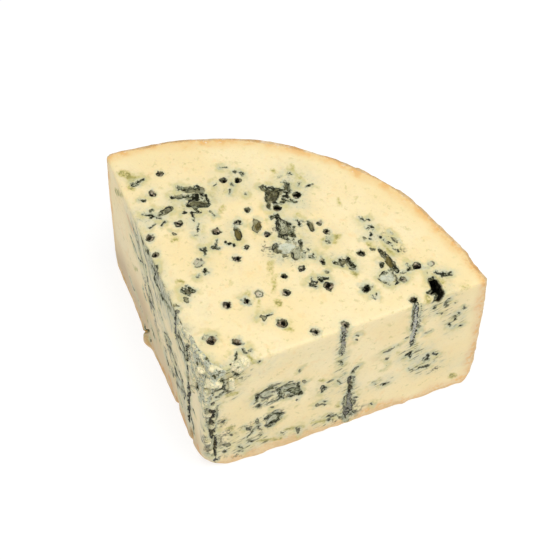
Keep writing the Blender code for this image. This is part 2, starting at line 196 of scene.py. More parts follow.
TOP_GREY = strokes({
    0.4: ((51, 110.4, 59, 106.6), (52, 116, 52.6, 115.4)),
    0.5: ((-43, 121, -39, 122.6), (5.4, 104.6, 11, 105.6)),
    0.6: ((-44, 89.6, -40, 90.2), (-12, 128.6, -12.4, 127), (53, 109.4, 56, 108.2), (60.4, 91, 59, 87),
        (59, 86, 62.4, 85.6), (75, 101.8, 77, 103.2), (-8.6, 22.4, -4, 24)),
    0.7: ((-36, 93.2, -33, 91.6), (-37.6, 76.4, -36.2, 76.6), (-26, 54, -26.2, 52.6),
        (24.4, 101, 25.4, 97.4)),
    0.8: ((-63.4, 82, -62, 78), (-60, 79, -57, 79.4), (-20.6, 92.6, -18.6, 92), (-21, 78.4, -17, 78),
        (-6, 103.4, -3, 101.6), (5, 93, 8, 92.2), (16, 88, 17, 84), (20, 86.4, 23, 86.6),
        (26, 87.4, 28, 84.6), (33, 87, 36, 88.4), (38.4, 92.6, 40, 89.8), (40.6, 115.4, 43.4, 114.4),
        (66, 94.4, 69, 100.4), (29.4, 76, 31.2, 74.6), (60.6, 96, 57.6, 91.4)),
    0.9: ((-44.4, 92.6, -41, 90), (-66, 78.6, -60, 80), (6, 100, 7, 97.8), (57.6, 90, 57, 86.4),
        (61, 92.6, 62.4, 90), (66.4, 101, 69.4, 99)),
    1: ((10.2, 8.6, 12.2, 7.4), (1.4, 6.8, 3.6, 6)),
    1.1: ((-42, 101.4, -40, 97.6), (-3.6, 112.6, -8, 110.6)),
    1.2: ((-24.6, 58.2, -22.6, 57),),
    1.3: ((-47, 103.4, -42, 101.4),),
    1.4: ((-7, 121.6, -5, 116.4), (5, 2, 14, 0.2)),
    1.5: ((-44.5, 98.6, -41, 99.4),),
    1.6: ((-50, 97, -46, 99),),
})
TOP_OLIVE = strokes({
    0.4: ((31.6, 80.4, 32, 80.8),),
    0.5: ((-29.6, 34, -28.6, 33), (46, 102.2, 48, 102.2), (-48, 73, -45.4, 73.4), (40.8, 107.2, 41.4, 107)),
    0.6: ((77.2, 99.4, 77.4, 99.2),),
    0.8: ((13, 104.6, 15, 103), (54, 112.4, 57, 111.6), (-3, 8.4, -2.4, 9)),
    0.9: ((-26, 39, -25, 37.4), (3.6, 84.8, 7.4, 86)),
    1: ((11.4, 43, 13.6, 42.4),),
    1.1: ((13, 92, 14.2, 88.6),),
    1.2: ((-17.6, 117, -16, 116.6), (11.4, 85, 13.4, 83)),
    1.3: ((-20, 88, -17, 84),),
    1.4: ((54, 101.4, 60, 97),),
    1.5: ((-52.4, 102, -47.4, 103.4), (-58, 82.4, -55.6, 86.4), (4, 84, 8, 82.4)),
    1.8: ((-13, 117, -8.8, 117.6), (-12, 115, -10.4, 111), (-12, 96, -10, 91.4)),
    1.9: ((1.6, 100.4, 3.6, 97.4),),
})
TOP_FLECKS = strokes({
    0.3: ((20.6, 125.4, 22.4, 122.6),),
    0.4: ((8.6, 68.6, 9.4, 65), (9.6, 66, 12, 58.6), (7, 51.6, 8.6, 48.2)),
    0.5: ((-82, 99.6, -79.6, 94), (5.4, 109.4, 6, 108.6)),
    0.6: ((25.6, 41, 29, 42.2), (-33, 46.6, -31.6, 47.2), (-16.4, 129.6, -15.6, 129.6), (-9.4, 137, -8, 134),
        (-3.6, 131.6, -3.2, 131.4), (52.4, 106.8, 58, 103.4), (43.4, 105, 48, 102.4)),
    0.7: ((14, 19, 18, 18.2),),
    0.8: ((-31.2, 95, -31, 98.6), (28, 99, 27, 102), (0.4, 54, 0.6, 52.6), (95.4, 99, 98, 98.6),
        (80.6, 98.4, 86, 96.4)),
    0.9: ((-45.6, 69, -44.6, 70),),
    1: ((-79, 91.4, -77.6, 90.6), (4, 75, 5.2, 71)),
    1.1: ((16, 54, 17, 53), (82, 85.4, 83.4, 83.4)),
    1.3: ((43.4, 85.6, 45, 84.6),),
    1.4: ((28, 103, 24, 98.6),),
    1.6: ((-87, 98, -80, 97.4),),
})
RIGHT_DARK = strokes({
    0.25: ((113.4, 88, 114.6, 62),),
    0.35: ((139, 71.4, 140, 69),),
    0.4: ((84, 20.8, 81, 22), (125, 37.4, 128, 34.6)),
    0.5: ((112, 45, 112, 40.6), (68.4, 46, 67, 45), (64.6, 40, 64, 36.6), (73.2, 41, 73.6, 40),
        (135.6, 56.2, 135.8, 55.8)),
    0.6: ((77, 14, 77.6, 5), (82.6, 8, 83, 6.4), (111.4, 65, 112.6, 52), (2, 60, 2.8, 47),
        (79.6, 79, 81, 78), (122, 38, 122.6, 33), (120, 36, 123, 32), (122, 80, 121.8, 78.6),
        (136, 68, 136.6, 66.4), (139, 55, 140, 54.4), (93, 9.2, 93.4, 8)),
    0.7: ((110.8, 80, 111.4, 65), (6.4, 58, 6.2, 45), (28.4, 84, 28.8, 84), (29, 46, 29.6, 44),
        (50.8, 65.6, 50.6, 64), (65, 28, 65.6, 27)),
    0.8: ((82, 50, 79.6, 46.4), (80, 42, 80.4, 36), (81, 26, 80.6, 25), (80.6, 16, 80.4, 6),
        (109, 60, 109.2, 60), (3, 90, 5, 81), (8.4, 78, 11, 69), (45, 57, 47, 56.4), (35, 44, 42, 43.6),
        (34, 23.4, 36, 21.8), (10.6, 13.4, 11.4, 12.6), (128, 80, 130, 82)),
    0.9: ((72.6, 77, 72.2, 67), (109, 44, 112.4, 46.2), (5, 85, 10.4, 76), (5.2, 40, 5.6, 12),
        (34, 30.6, 38.4, 34), (24, 27, 24.4, 26.4), (64, 42, 65, 41), (98, 24.6, 100, 23.6)),
    1: ((79.4, 34, 78.4, 28), (80, 20, 82.8, 16), (-1, 76, 3, 71), (28, 55, 27.8, 50), (40, 54, 41.2, 45),
        (46, 43, 51, 42), (50, 53, 50.6, 45)),
    1.1: ((72, 86.6, 72.6, 77), (78, 25.4, 77.4, 15), (110.4, 93, 110.8, 80)),
    1.3: ((2.6, 46, 5, 33),),
    1.4: ((47, 46, 52.6, 41.4),),
    1.5: ((72, 92, 75, 88.4), (37, 31, 41.4, 29), (40, 27, 36, 24)),
    1.6: ((43, 55, 47, 52), (44, 49, 50, 46)),
})
RIGHT_GREY = strokes({
    0.5: ((22, 31, 24, 27), (72, 10, 76, 7.2), (121.6, 85, 122.6, 84), (127.6, 79, 128.2, 77.6)),
    0.6: ((31, 17, 30.6, 16), (19, 8.4, 20.4, 7), (19.4, 13, 21, 11.4), (68, 9.2, 69, 8),
        (76, 47.6, 76.4, 47.2), (92, 30, 94, 28), (112, 31, 114, 29), (134, 66, 135, 62)),
    0.7: ((26, 22, 24, 19), (28.6, 32, 28.6, 27), (72, 44, 73.6, 40), (132, 59.4, 133.4, 57),
        (8, 18, 9, 16.4)),
    0.8: ((72.6, 61, 73.4, 57), (68, 12.2, 72, 10), (2, 57, 4, 52)),
    0.9: ((30, 27, 26, 22), (25, 14.4, 25.6, 13.4), (2, 14, 5, 20)),
    1: ((119, 28.4, 123.4, 27), (14.4, 88, 16.8, 79.6), (8, 82, 11, 74), (7, 66, 12, 68)),
    1.1: ((28.6, 55, 34, 58.2), (34, 58, 38, 56)),
    1.2: ((41, 51, 44, 47),),
    1.4: ((-1, 84, 2, 78),),
    1.6: ((3, 74, 9, 72),),
})
RIGHT_OLIVE = strokes({
    0.3: ((99, 42, 98, 40.4),),
    0.4: ((100, 56, 104, 57), (14, 27, 15, 25.6), (133, 77.6, 133.4, 77)),
    0.5: ((36.6, 39, 37.4, 38.4), (50, 37.6, 50.2, 36), (9, 43, 10, 41.4)),
    0.6: ((98, 48.6, 98, 47), (119, 59.4, 122, 59), (124, 73.6, 127, 71.6), (19, 76, 19.4, 73.6)),
    0.7: ((34.6, 59.6, 40, 59.2), (64, 25.4, 66, 24), (80, 74.8, 80.4, 74.2), (51, 12, 52.4, 6.4),
        (42, 12.6, 42.6, 11.6)),
    0.8: ((53, 54, 54.6, 51.4), (61, 27.6, 61.6, 26)),
    0.9: ((96.6, 54.4, 99.6, 55), (6, 58, 7, 54)),
    1.1: ((11, 19.4, 13, 17.4),),
    1.3: ((79, 9, 79, 3.4),),
})
RIGHT_FLECKS = strokes({
    0.4: ((97, 79, 98.4, 77.4),),
    0.5: ((104.4, 50.4, 104.8, 49.4),),
    0.7: ((62, 50, 64, 48), (73, 20, 74, 18), (60, 11, 72, 8)),
    0.8: ((30, 11, 42, 8),),
    0.9: ((24, 91, 26, 85),),
    1: ((138, 11, 140, 8), (45, 14, 54, 11)),
    1.2: ((13, 64, 17, 63.4), (13, 33.6, 16, 32.6)),
})
LEFT_DARK = strokes({
    0.4: ((102, 77, 97, 78),),
    0.5: ((85.8, 68.8, 83.5, 59.9, 82.7, 50.6, 82, 41, 73.8, 45.5),
        (108, 64, 102.1, 60.3, 95.9, 59.5, 89.2, 64.5), (17.5, 34.9, 14.6, 34.5)),
    0.6: ((58.7, 44.7, 49.6, 44, 53.9, 49.4), (33.8, 31.5, 27.8, 32.7, 29.6, 24.6), (38, 70.9, 33.6, 72.6),
        (48.4, 25, 47, 24)),
    0.7: ((42.8, 30.5, 38.3, 29.5, 32.2, 34.7), (81.6, 9, 81, 7.6)),
    0.8: ((74.2, 81.8, 69.6, 82.6, 71.8, 73.1, 62.7, 75.6),),
    0.9: ((41, 86, 40, 75.9, 38.4, 69, 34.7, 64.4, 28.8, 68, 23.7, 69, 22.8, 63, 24.3, 52.4),
        (84, 61.5, 83, 57), (82.2, 43, 82, 39), (89.8, 9, 88.6, 5.6)),
    1: ((26.1, 83.8, 23.4, 80.7, 20.2, 88, 17.4, 84),),
    1.1: ((24.3, 52.4, 20.4, 47, 22, 31, 20.7, 23.6, 16.8, 20, 16.5, 13),),
})
LEFT_GREY = strokes({
    0.8: ((37.5, 16, 32.9, 13), (80, 54, 76, 49)),
    0.9: ((58.2, 26.4, 53.8, 23), (80.3, 21.7, 75.7, 19), (36.5, 40, 32, 39), (98, 72, 93, 67, 90, 64)),
    1: ((65.5, 56.6, 61.1, 54), (46.8, 42.3, 42.3, 40), (14, 82, 10, 74, 6, 71)),
    1.1: ((74, 77, 66, 76),),
    1.2: ((89, 84.8, 84.6, 82, 79.8, 85),),
    1.5: ((61.4, 73, 55.2, 76.9, 49.3, 78.9),),
    1.6: ((34, 76, 28, 74, 26, 66),),
    1.7: ((57, 44.6, 49, 43.4),),
    1.8: ((43, 33, 36, 29, 31, 33),),
})
LEFT_OLIVE = strokes({
    0.4: ((101.4, 17.3, 95.1, 15), (92, 40, 88, 35), (70, 30, 66, 25)),
    0.5: ((115.6, 21.5, 109.5, 17.7, 104.5, 18.7),),
    0.6: ((85.2, 19.7, 84.6, 19),),
    0.7: ((104, 63, 100, 61),),
})
LEFT_FLECKS = strokes({
    0.8: ((118, 86, 122, 82), (100, 46, 106, 40)),
    1.4: ((124, 82, 129, 76),),
})
LEFT_STAINS = strokes({
    0.8: ((42, 13, 40, 9),),
    1: ((104, 74, 102.6, 80),),
    1.2: ((52.7, 12, 48, 7),),
    1.4: ((10.7, 9, 8, 5),),
    1.6: ((110.6, 77, 106, 74), (30.2, 8, 27, 4)),
    2: ((60.9, 7, 58, 3),),
    2.4: ((79, 6, 90, -1),),
})

# pale blue-grey haze: centre, half length, half width, turn in degrees, strength
TOP_HAZE = (
    (-47, 97, 12, 9, 20, 0.9), (-32, 114, 11, 9, 0, 0.55), (-61, 79, 8, 6, 10, 0.65),
    (-80, 97, 8, 5, 10, 0.4), (-40, 84, 6, 9, 30, 0.5), (-20, 84, 6, 9, 20, 0.5), (-29, 71, 5, 9, 20, 0.55),
    (-25, 57, 5, 6, 0, 0.45), (-5, 118, 10, 9, 0, 0.75), (-5, 131, 11, 8, 0, 0.55), (5, 115, 6, 5, 0, 0.45),
    (2, 100, 10, 7, 120, 0.75), (9, 88, 12, 8, 20, 0.9), (8, 79, 7, 4, 0, 0.5), (24, 86, 9, 4, 10, 0.55),
    (38, 90, 9, 5, 0, 0.6), (30, 74, 8, 5, 20, 0.55), (42, 113, 8, 6, 140, 0.6), (54, 109, 9, 4, 150, 0.5),
    (61, 90, 7, 6, 0, 0.85), (68, 97, 4, 6, 10, 0.6), (83, 102, 8, 4, 20, 0.55), (85, 96, 7, 5, 130, 0.45),
    (9, 103, 7, 4, 0, 0.5), (-68, 93, 4, 4, 0, 0.3), (12, 44, 7, 5, 20, 0.4), (-26, 41, 5, 6, 0, 0.4),
    (15, 17, 4, 6, 20, 0.45), (10, 4, 12, 6, 160, 0.9), (-6, 15, 5, 4, 0, 0.4), (-4, 6, 7, 5, 20, 0.8),
    (57, 97, 9, 5, 130, 0.35), (-16, 37, 4, 4, 0, 0.18), (-11, 31, 3, 4, 0, 0.16), (26, 102, 6, 6, 40, 0.3),
    (50, 54, 5, 4, 0, 0.3), (-48, 80, 5, 4, 0, 0.3), (18, 62, 4, 4, 0, 0.2), (2, 52, 6, 6, 0, 0.3),
    (-13, 67, 4, 5, 0, 0.2),
)
RIGHT_HAZE = (
    (5, 78, 14, 14, 100, 1), (4, 40, 5, 34, 0, 0.75), (30, 78, 16, 6, 10, 0.3), (33, 52, 8, 8, 0, 1),
    (46, 50, 7, 6, 110, 0.6), (28, 24, 8, 8, 30, 0.6), (38, 28, 6, 6, 0, 0.6), (24, 13, 10, 8, 0, 0.75),
    (73, 60, 3.6, 16, 0, 0.75), (73, 40, 5, 8, 0, 0.4), (80, 26, 6, 22, 0, 0.45),
    (112.4, 70, 3.2, 24, 0, 0.5), (98, 27, 8, 6, 0, 0.5), (121, 31, 9, 10, 20, 0.9),
    (125, 80, 10, 7, 30, 0.62), (135, 62, 7, 11, 0, 0.7), (64, 38, 6, 10, 0, 0.35), (65, 26, 6, 6, 0, 0.3),
    (70, 11, 8, 6, 150, 0.5), (114, 44, 10, 7, 0, 0.8), (99, 54, 8, 4, 10, 0.6), (50, 12, 14, 6, 0, 0.35),
    (14, 62, 6, 5, 0, 0.35), (138, 20, 9, 8, 0, 0.3), (56, 9, 32, 4, 0, 0.45), (12, 26, 7, 14, 0, 0.35),
    (62, 74, 10, 10, 0, 0.18),
)
LEFT_HAZE = (
    (100, 78, 12, 10, 0, 0.75), (84, 75, 13, 14, 0, 0.9), (66, 74, 14, 13, 0, 0.85),
    (48, 76, 12, 12, 0, 0.85), (30, 74, 11, 14, 0, 0.9), (12, 76, 12, 14, 0, 0.8), (84, 52, 8, 14, 140, 0.6),
    (66, 52, 12, 9, 50, 0.5), (52, 44, 11, 8, 50, 0.85), (37, 30, 13, 9, 50, 0.9), (22, 42, 6, 30, 0, 0.6),
    (20, 18, 5, 9, 0, 0.5), (33, 15, 9, 6, 50, 0.5), (55, 25, 9, 6, 50, 0.55), (78, 20, 8, 6, 50, 0.55),
    (106, 19, 12, 5, 20, 0.3), (72, 36, 12, 6, 50, 0.35), (94, 60, 10, 6, 30, 0.5), (8, 50, 5, 20, 0, 0.2),
    (38, 50, 12, 6, 50, 0.35),
)
HAZE_REACH = 9.0        # how deep behind a face its marks still show
MARKS = {
    "dark": (TOP_DARK, RIGHT_DARK, LEFT_DARK),
    "grey": (TOP_GREY, RIGHT_GREY, LEFT_GREY),
    "olive": (TOP_OLIVE, RIGHT_OLIVE, LEFT_OLIVE),
    "fleck": (TOP_FLECKS, RIGHT_FLECKS, LEFT_FLECKS),
}

# how rough each thing is: amounts, sizes and shifts of noise
PASTE_ROUGH = ((0.5, 30.0, 0.0), (0.13, 8.0, 2.0), (0.06, 2.6, 4.0))
RIND_ROUGH = ((0.5, 30.0, 0.0), (0.42, 8.0, 6.0), (0.34, 3.4, 8.0), (0.16, 1.6, 5.0))
RAGGED_ROUGH = ((1.3, 4.5, 7.0), (0.8, 1.9, 8.0))
CAVITY_ROUGH = ((0.5, 2.6, 5.0), (0.35, 1.2, 0.0))
POCKET_ROUGH = ((0.3, 3.0, 5.0), (0.22, 1.4, 9.0))
LUMP_ROUGH = ((0.3, 3.0, 5.0), (0.25, 1.5, 9.0))

# the ragged part of the top's left edge: how far it reaches in, and where along the cut it fades
RAGGED_REACH = 3.0
RAGGED_END = (80, 66)

# the crumbled point: a broken face that runs from this far back on top to this far down the front
CRUMBLE_REACH = 5.5
CRUMBLE_DOWN = 22.0
# lumps that stand on it: x, y, depth below the top, half sizes, turn in degrees
LUMPS_ON_POINT = (
    (13, 14.8, 2.4, 5, 3, 3.4, 60), (10.8, 8.4, 11, 1.6, 1.2, 5, 45), (3.6, 3.6, 9.4, 4.4, 1.5, 1.7, 25),
    (-8.8, 9, 21, 2, 1.6, 4.6, 130), (-9.8, 9.8, 29, 1.6, 1.4, 2.4, 130),
    (-4.4, 6.6, 5.4, 2.8, 1.6, 1.8, 150), (0.6, 2, 15, 1.8, 1.4, 2.8, 80),
)

# ---------------------------------------------------------------- colours, as an sRGB picture has them
PASTE_PALE = (252, 234, 186)
PASTE_WARM = (250, 228, 173)
PASTE_SHADE = (238, 216, 168)
PASTE_EDGE = (244, 209, 145)
PASTE_PEACH = (238, 208, 160)
EDGE_GLOW = (238, 184, 110)
PASTE_STAIN = (248, 214, 150)
# painted shade: the darker brown laid over the lower part of the left cut
PAINTED_FOOT_SHADE = (206, 180, 136)
RIND_BUFF = (232, 205, 160)
RIND_TAN = (208, 172, 120)
RIND_ORANGE = (224, 164, 92)
RIND_BLOOM = (250, 232, 204)
RIND_LIT = (252, 220, 170)
RIND_PIT = (150, 116, 74)
MOULD_BLACK = (28, 28, 12)
MOULD_DEEP = (70, 70, 46)
MOULD_GREEN = (98, 98, 66)
MOULD_GREY = (142, 145, 115)
MOULD_PALE = (180, 181, 151)
OLIVE_DARK = (78, 74, 48)
OLIVE = (120, 116, 80)
OLIVE_PALE = (162, 157, 120)
FLECK = (194, 184, 106)
FLECK_CORE = (146, 138, 72)
HAZE_BLUE = (202, 204, 176)
HAZE_GREEN = (216, 211, 168)
BED_PALE = (198, 197, 164)
HOLE_BROWN = (124, 110, 84)
HOLE_PINK = (206, 192, 166)
CHANNEL_BROWN = (52, 42, 26)
CHANNEL_LILAC = (180, 179, 172)
CRUMB_PALE = (252, 240, 198)
CRUMB_BLUE = (206, 208, 184)
FLOOR_PALE = (182, 181, 148)
FLOOR_GREY = (212, 214, 190)
FLOOR_BROWN = (112, 100, 48)
# painted shade: the near black laid where a hole, the cavity or a hollow runs deep
PAINTED_PIT_SHADE = (16, 14, 8)


# ================================================================ noise
LATTICE_SIZE = 32
LATTICE = np.random.default_rng(29).uniform(-1, 1, (LATTICE_SIZE,) * 3).astype(np.float32)
CRUMB_PLACES = np.random.default_rng(31).uniform(0, 1, (LATTICE_SIZE,) * 3 + (3,)).astype(np.float32)


def wander(x, y, z, size, shift=0.0):
    """Smooth noise from -1 to 1 that varies over about that size."""
    cells, shares = [], []
    for c, offset in zip((x, y, z), (shift, shift * 1.7 + 3.1, shift * 2.3 + 7.7)):
        t = np.asarray(c, np.float32) / size + offset
        base = np.floor(t)
        share = t - base
        low = base.astype(np.int32) % LATTICE_SIZE
        cells.append((low, (low + 1) % LATTICE_SIZE))
        shares.append(share * share * (3 - 2 * share))
    u, v, w = shares
    total = 0
    for i, su in ((0, 1 - u), (1, u)):
        for j, sv in ((0, 1 - v), (1, v)):
            for k, sw in ((0, 1 - w), (1, w)):
                total = total + LATTICE[cells[0][i], cells[1][j], cells[2][k]] * su * sv * sw
    return total


def roughness(x, y, z, layers, start=0):
    """Noise of several sizes, added up. Each layer is an amount, a size and a shift."""
    return sum((amount * wander(x, y, z, size, shift) for amount, size, shift in layers), start)


def crumbs(x, y, z, size, shift=0):
    """Distance to the nearest of a scatter of points, in sizes: low on a crumb, high in the creases."""
    stir = [0.35 * wander(x, y, z, size * 1.3, shift + k) for k in (1, 2, 3)]
    coords = [np.asarray(c, np.float32) / size + shift + off for c, off in zip((x, y, z), stir)]
    coords = np.broadcast_arrays(*coords)
    bases = [np.floor(c).astype(np.int32) for c in coords]
    nearest = np.full(coords[0].shape, FAR, np.float32)
    for step in np.ndindex(3, 3, 3):
        cell = [base + s - 1 for base, s in zip(bases, step)]
        place = CRUMB_PLACES[tuple(c % LATTICE_SIZE for c in cell)]
        run, side, rise = (np.abs(cell[a] + place[..., a] - coords[a]) for a in range(3))
        gap = np.maximum(np.maximum(run + 0.4 * side, side + 0.4 * rise), rise + 0.4 * run)
        np.minimum(nearest, gap, out=nearest)
    return nearest


# ================================================================ distance helpers
def soft_max(a, b, width):
    """The larger of two distances, with the edge between them rounded over that width."""
    overlap = np.maximum(width - np.abs(a - b), 0) / width
    return np.maximum(a, b) + overlap * overlap * width / 4


def soft_min(a, b, width):
    return -soft_max(-a, -b, width)


def ease(x, low, high):
    """0 below low, 1 above high, smooth in between. Low may be above high."""
    t = np.clip((x - low) / (high - low), 0, 1)
    return t * t * (3 - 2 * t)


def bell(x, middle, spread):
    return np.exp(-(((x - middle) / spread) ** 2))


def quarter_round(depth, reach, distance):
    share = np.clip(1 - distance / reach, 0, 1)
    return depth * (1 - np.sqrt(1 - share * share))


def along_cut(angle, x, y):
    return x * math.cos(angle) + y * math.sin(angle)


def on_cut(angle, s, z):
    return (s * math.cos(angle), s * math.sin(angle), z)


def turned(u, v, degrees):
    """How far (u, v) runs along and across a direction turned by that much."""
    c, s = math.cos(math.radians(degrees)), math.sin(math.radians(degrees))
    return u * c + v * s, v * c - u * s


def beyond_right(x, y):
    """Distance outside the right cut's plane."""
    return x * math.sin(RIGHT_CUT) - y * math.cos(RIGHT_CUT)


def beyond_left(x, y):
    """Distance outside the left cut's plane."""
    return -x * math.sin(LEFT_CUT) + y * math.cos(LEFT_CUT)


CUTS = (
    (RIGHT_CUT, beyond_right, RIGHT_POCKETS, RIGHT_CHANNELS),
    (LEFT_CUT, beyond_left, LEFT_POCKETS, LEFT_CHANNELS),
)


def faces(x, y, z):
    """For the top, the right cut and the left cut: the place on the face, and how far behind it."""
    yield x, y, HEIGHT - z
    for angle, beyond, _, _ in CUTS:
        yield along_cut(angle, x, y), z, -beyond(x, y)


def beyond_rind(x, y, z):
    """Distance outside the curved rind."""
    from_x, from_y = x - WHEEL_CENTRE[0], y - WHEEL_CENTRE[1]
    angle = np.degrees(np.arctan2(from_y, from_x))
    radius = RIND_RADIUS - sum(depth * bell(angle, middle, spread) for middle, spread, depth in RIND_WAVES)
    barrel = BARREL * np.clip((z - BARREL_WAIST) / (HEIGHT - BARREL_WAIST), 0, 1) ** 2
    lean = LEAN * np.clip(-x / 100, 0, 1) ** 2 * np.clip(1 - z / LEAN_UP, 0, 1)
    return np.hypot(from_x, from_y) - radius + barrel + lean + quarter_round(RIM_IN, RIM_UP, z)


def clean_slice(x, y, z):
    """Signed distance to the wedge before it is roughened and carved, less than 0 inside."""
    s, spread, out = LUMP
    lump = out * bell(along_cut(LEFT_CUT, x, y), s, spread) * np.clip(1 - z / LUMP_UP, 0, 1)
    tip = TIP_TOP + (TIP_BOTTOM - TIP_TOP) * np.clip(1 - z / TIP_WEAR_UP, 0, 1) ** 2
    flare = FOOT_FLARE * np.clip(1 - z / FOOT_FLARE_UP, 0, 1) ** 2
    cuts = soft_max(beyond_right(x, y) - flare, beyond_left(x, y) - lump, tip)
    walls = soft_max(cuts, beyond_rind(x, y, z), CORNER)
    return soft_max(soft_max(walls, z - HEIGHT, TOP_EDGE), -z, BOTTOM_EDGE)


# ================================================================ the grid
def axis_points(low, high):
    return np.arange(low, high + CELL, CELL).astype(np.float32)


# the grid covers the wedge from its left end to its right end and from its point to its back
LEFT_END, RIGHT_END, FRONT, BACK = -105, 108, -2, 152
XS = axis_points(LEFT_END - MARGIN, RIGHT_END + MARGIN)
YS = axis_points(-MARGIN + FRONT, BACK + MARGIN)
ZS = axis_points(-MARGIN, HEIGHT + MARGIN)


def window(low, high):
    """The part of the grid inside a box: its slices, and its x, y and z."""
    cuts = []
    for points, a, b in zip((XS, YS, ZS), low, high):
        first, last = np.searchsorted(points, (a, b))
        cuts.append(slice(max(first - 1, 0), min(last + 1, len(points))))
    x, y, z = XS[cuts[0]], YS[cuts[1]], ZS[cuts[2]]
    return tuple(cuts), x[:, None, None], y[None, :, None], z[None, None, :]


def window_round(centre, reach):
    return window([c - reach for c in centre], [c + reach for c in centre])


def carve(field, place, hollow, width):
    field[place] = soft_max(field[place], -hollow, width)


def carve_needle_holes(field):
    for hole in NEEDLE_HOLES:
        x0, y0, _, filled = hole
        depth = HOLE_DEPTH * min(1 - filled, 1) + 0.8
        place, x, y, z = window((x0 - 4, y0 - 4, HEIGHT - depth - 2), (x0 + 4, y0 + 4, HEIGHT + 3))
        dish = HEIGHT - HOLE_FLOOR - z + 0.4 * wander(x, y, z, 1.1, 3.0)
        carve(field, place, soft_max(hole_side(x, y, z, hole), dish, 0.8), 0.5)
        carve(field, place, soft_max(core_side(x, y, z, hole), HEIGHT - depth - z, 0.8), 0.4)


def hole_side(x, y, z, hole):
    """Distance outside a needle hole's uneven wall."""
    x0, y0, radius, _ = hole
    return np.hypot(x - x0, y - y0) - radius * HOLE_WALL + 0.7 * wander(x, y, z * 0.3, 1.9)


def core_side(x, y, z, hole):
    """Distance outside the part of a needle hole that is still open: off its middle, and longer than wide."""
    x0, y0, radius, filled = hole
    turn = math.radians((37 * x0 + 73 * y0) % 360)
    c, s = math.cos(turn), math.sin(turn)
    off, run = 0.25 * radius, 0.28 * radius
    middle_x, middle_y = x0 + off * c, y0 + off * s
    half = radius * (0.42 - 0.34 * filled)
    stroke = (middle_x - run * s, middle_y + run * c, middle_x + run * s, middle_y - run * c, half)
    return stroke_distance(x, y, stroke) + 0.45 * wander(x, y, z * 0.3, 1.3, 6.0)


def stroke_distance(u, v, stroke):
    """Distance from each place to a stroke's edge, less than 0 inside."""
    a, b, c, d, half = stroke
    run_u, run_v = c - a, d - b
    length = max(run_u * run_u + run_v * run_v, 1e-4)
    share = np.clip(((u - a) * run_u + (v - b) * run_v) / length, 0, 1)
    return np.hypot(u - a - share * run_u, v - b - share * run_v) - half


def cavity_side(x, y, z):
    """Distance outside the wall of the open cavity."""
    lean = CAVITY_LEAN * np.maximum(HEIGHT - z, 0)
    gaps = [stroke_distance(x + lean, y - lean, stroke) for stroke in CAVITY]
    return np.minimum.reduce(gaps) + roughness(x, y, z * 0.4, CAVITY_ROUGH)


def carve_cavity(field):
    place, x, y, z = window((74, 82, HEIGHT - CAVITY_DEPTH - 2), (94, 102, HEIGHT + 2))
    carve(field, place, soft_max(cavity_side(x, y, z), HEIGHT - CAVITY_DEPTH - z, 3.0), 0.5)


def lumpy_ellipsoid(along, aside, outward, half_sizes, x, y, z):
    size = np.sqrt(sum((c / h) ** 2 for c, h in zip((along, aside, outward), half_sizes)))
    return (size - 1 + roughness(x, y, z, POCKET_ROUGH)) * min(half_sizes)


def carve_top_pockets(field):
    for x0, y0, long, wide, turn, depth, _ in TOP_POCKETS:
        reach = long + 3
        low, high = (x0 - reach, y0 - reach, HEIGHT - depth - 3), (x0 + reach, y0 + reach, HEIGHT + 2)
        place, x, y, z = window(low, high)
        along, aside = turned(x - x0, y - y0, turn)
        carve(field, place, lumpy_ellipsoid(along, aside, z - HEIGHT, (long, wide, depth), x, y, z), 0.7)


def carve_cut_face(field, angle, beyond, pockets, channels):
    for s0, z0, long, wide, turn, depth in pockets:
        place, x, y, z = window_round(on_cut(angle, s0, z0), long + 3)
        over, up = turned(along_cut(angle, x, y) - s0, z - z0, turn)
        carve(field, place, lumpy_ellipsoid(over, up, beyond(x, y), (long, wide, depth), x, y, z), 0.9)
    for channel in channels:
        s0, low, high, radius, sway, _ = channel
        reach = np.array((1, 1, 0)) * (radius + sway + 3)
        foot, head = on_cut(angle, s0, low - 1), on_cut(angle, s0, high + 1)
        place, x, y, z = window(foot - reach, head + reach)
        side = channel_side(along_cut(angle, x, y), beyond(x, y), z, channel)
        carve(field, place, side + 0.5 * wander(x, y, z, 1.7, 3.0), 0.8)


def channel_side(s, behind, z, channel):
    """Distance outside an upright channel's wall."""
    s0, low, high, radius, sway, pale = channel
    middle = s0 + sway * wander(s0, 0, z, 13.0)
    girth = radius * (1 + 0.5 * wander(s0, 9, z, 5.0)) * ease(z, low - 1, low + 5)
    side = np.hypot(s - middle, behind * (0.8 + 1.4 * pale)) - girth
    return soft_max(side, np.maximum(low - z, z - high), 1.0)


def add_beads(field):
    for s0, z0, radius in BEADS:
        x0, y0, z0 = on_cut(RIGHT_CUT, s0 + BEAD_ASIDE, z0)
        place, x, y, z = window_round((x0, y0, z0), radius + 2)
        bead = np.sqrt((x - x0 + 0.4) ** 2 + (y - y0 - 0.4) ** 2 + ((z - z0) * 0.8) ** 2) - radius
        field[place] = soft_min(field[place], bead + 0.25 * wander(x, y, z, 1.6), 0.3)


def crumble_face(x, y, z):
    """Distance in front of the broken face of the point."""
    reach = CRUMBLE_REACH + 0.75 * np.maximum(-x, 0) + 1.4 * wander(x, y, 0, 5.0, 2.0)
    slope = math.hypot(CRUMBLE_REACH, CRUMBLE_DOWN)
    return ((reach - y) * CRUMBLE_DOWN + (z - HEIGHT) * CRUMBLE_REACH) / slope


def crumble_share(x, y, z):
    """How far a place belongs to the crumbled point: 0 where the wedge is sound, up to 1."""
    return ease(crumble_face(x, y, z), -3.2, -1.0)


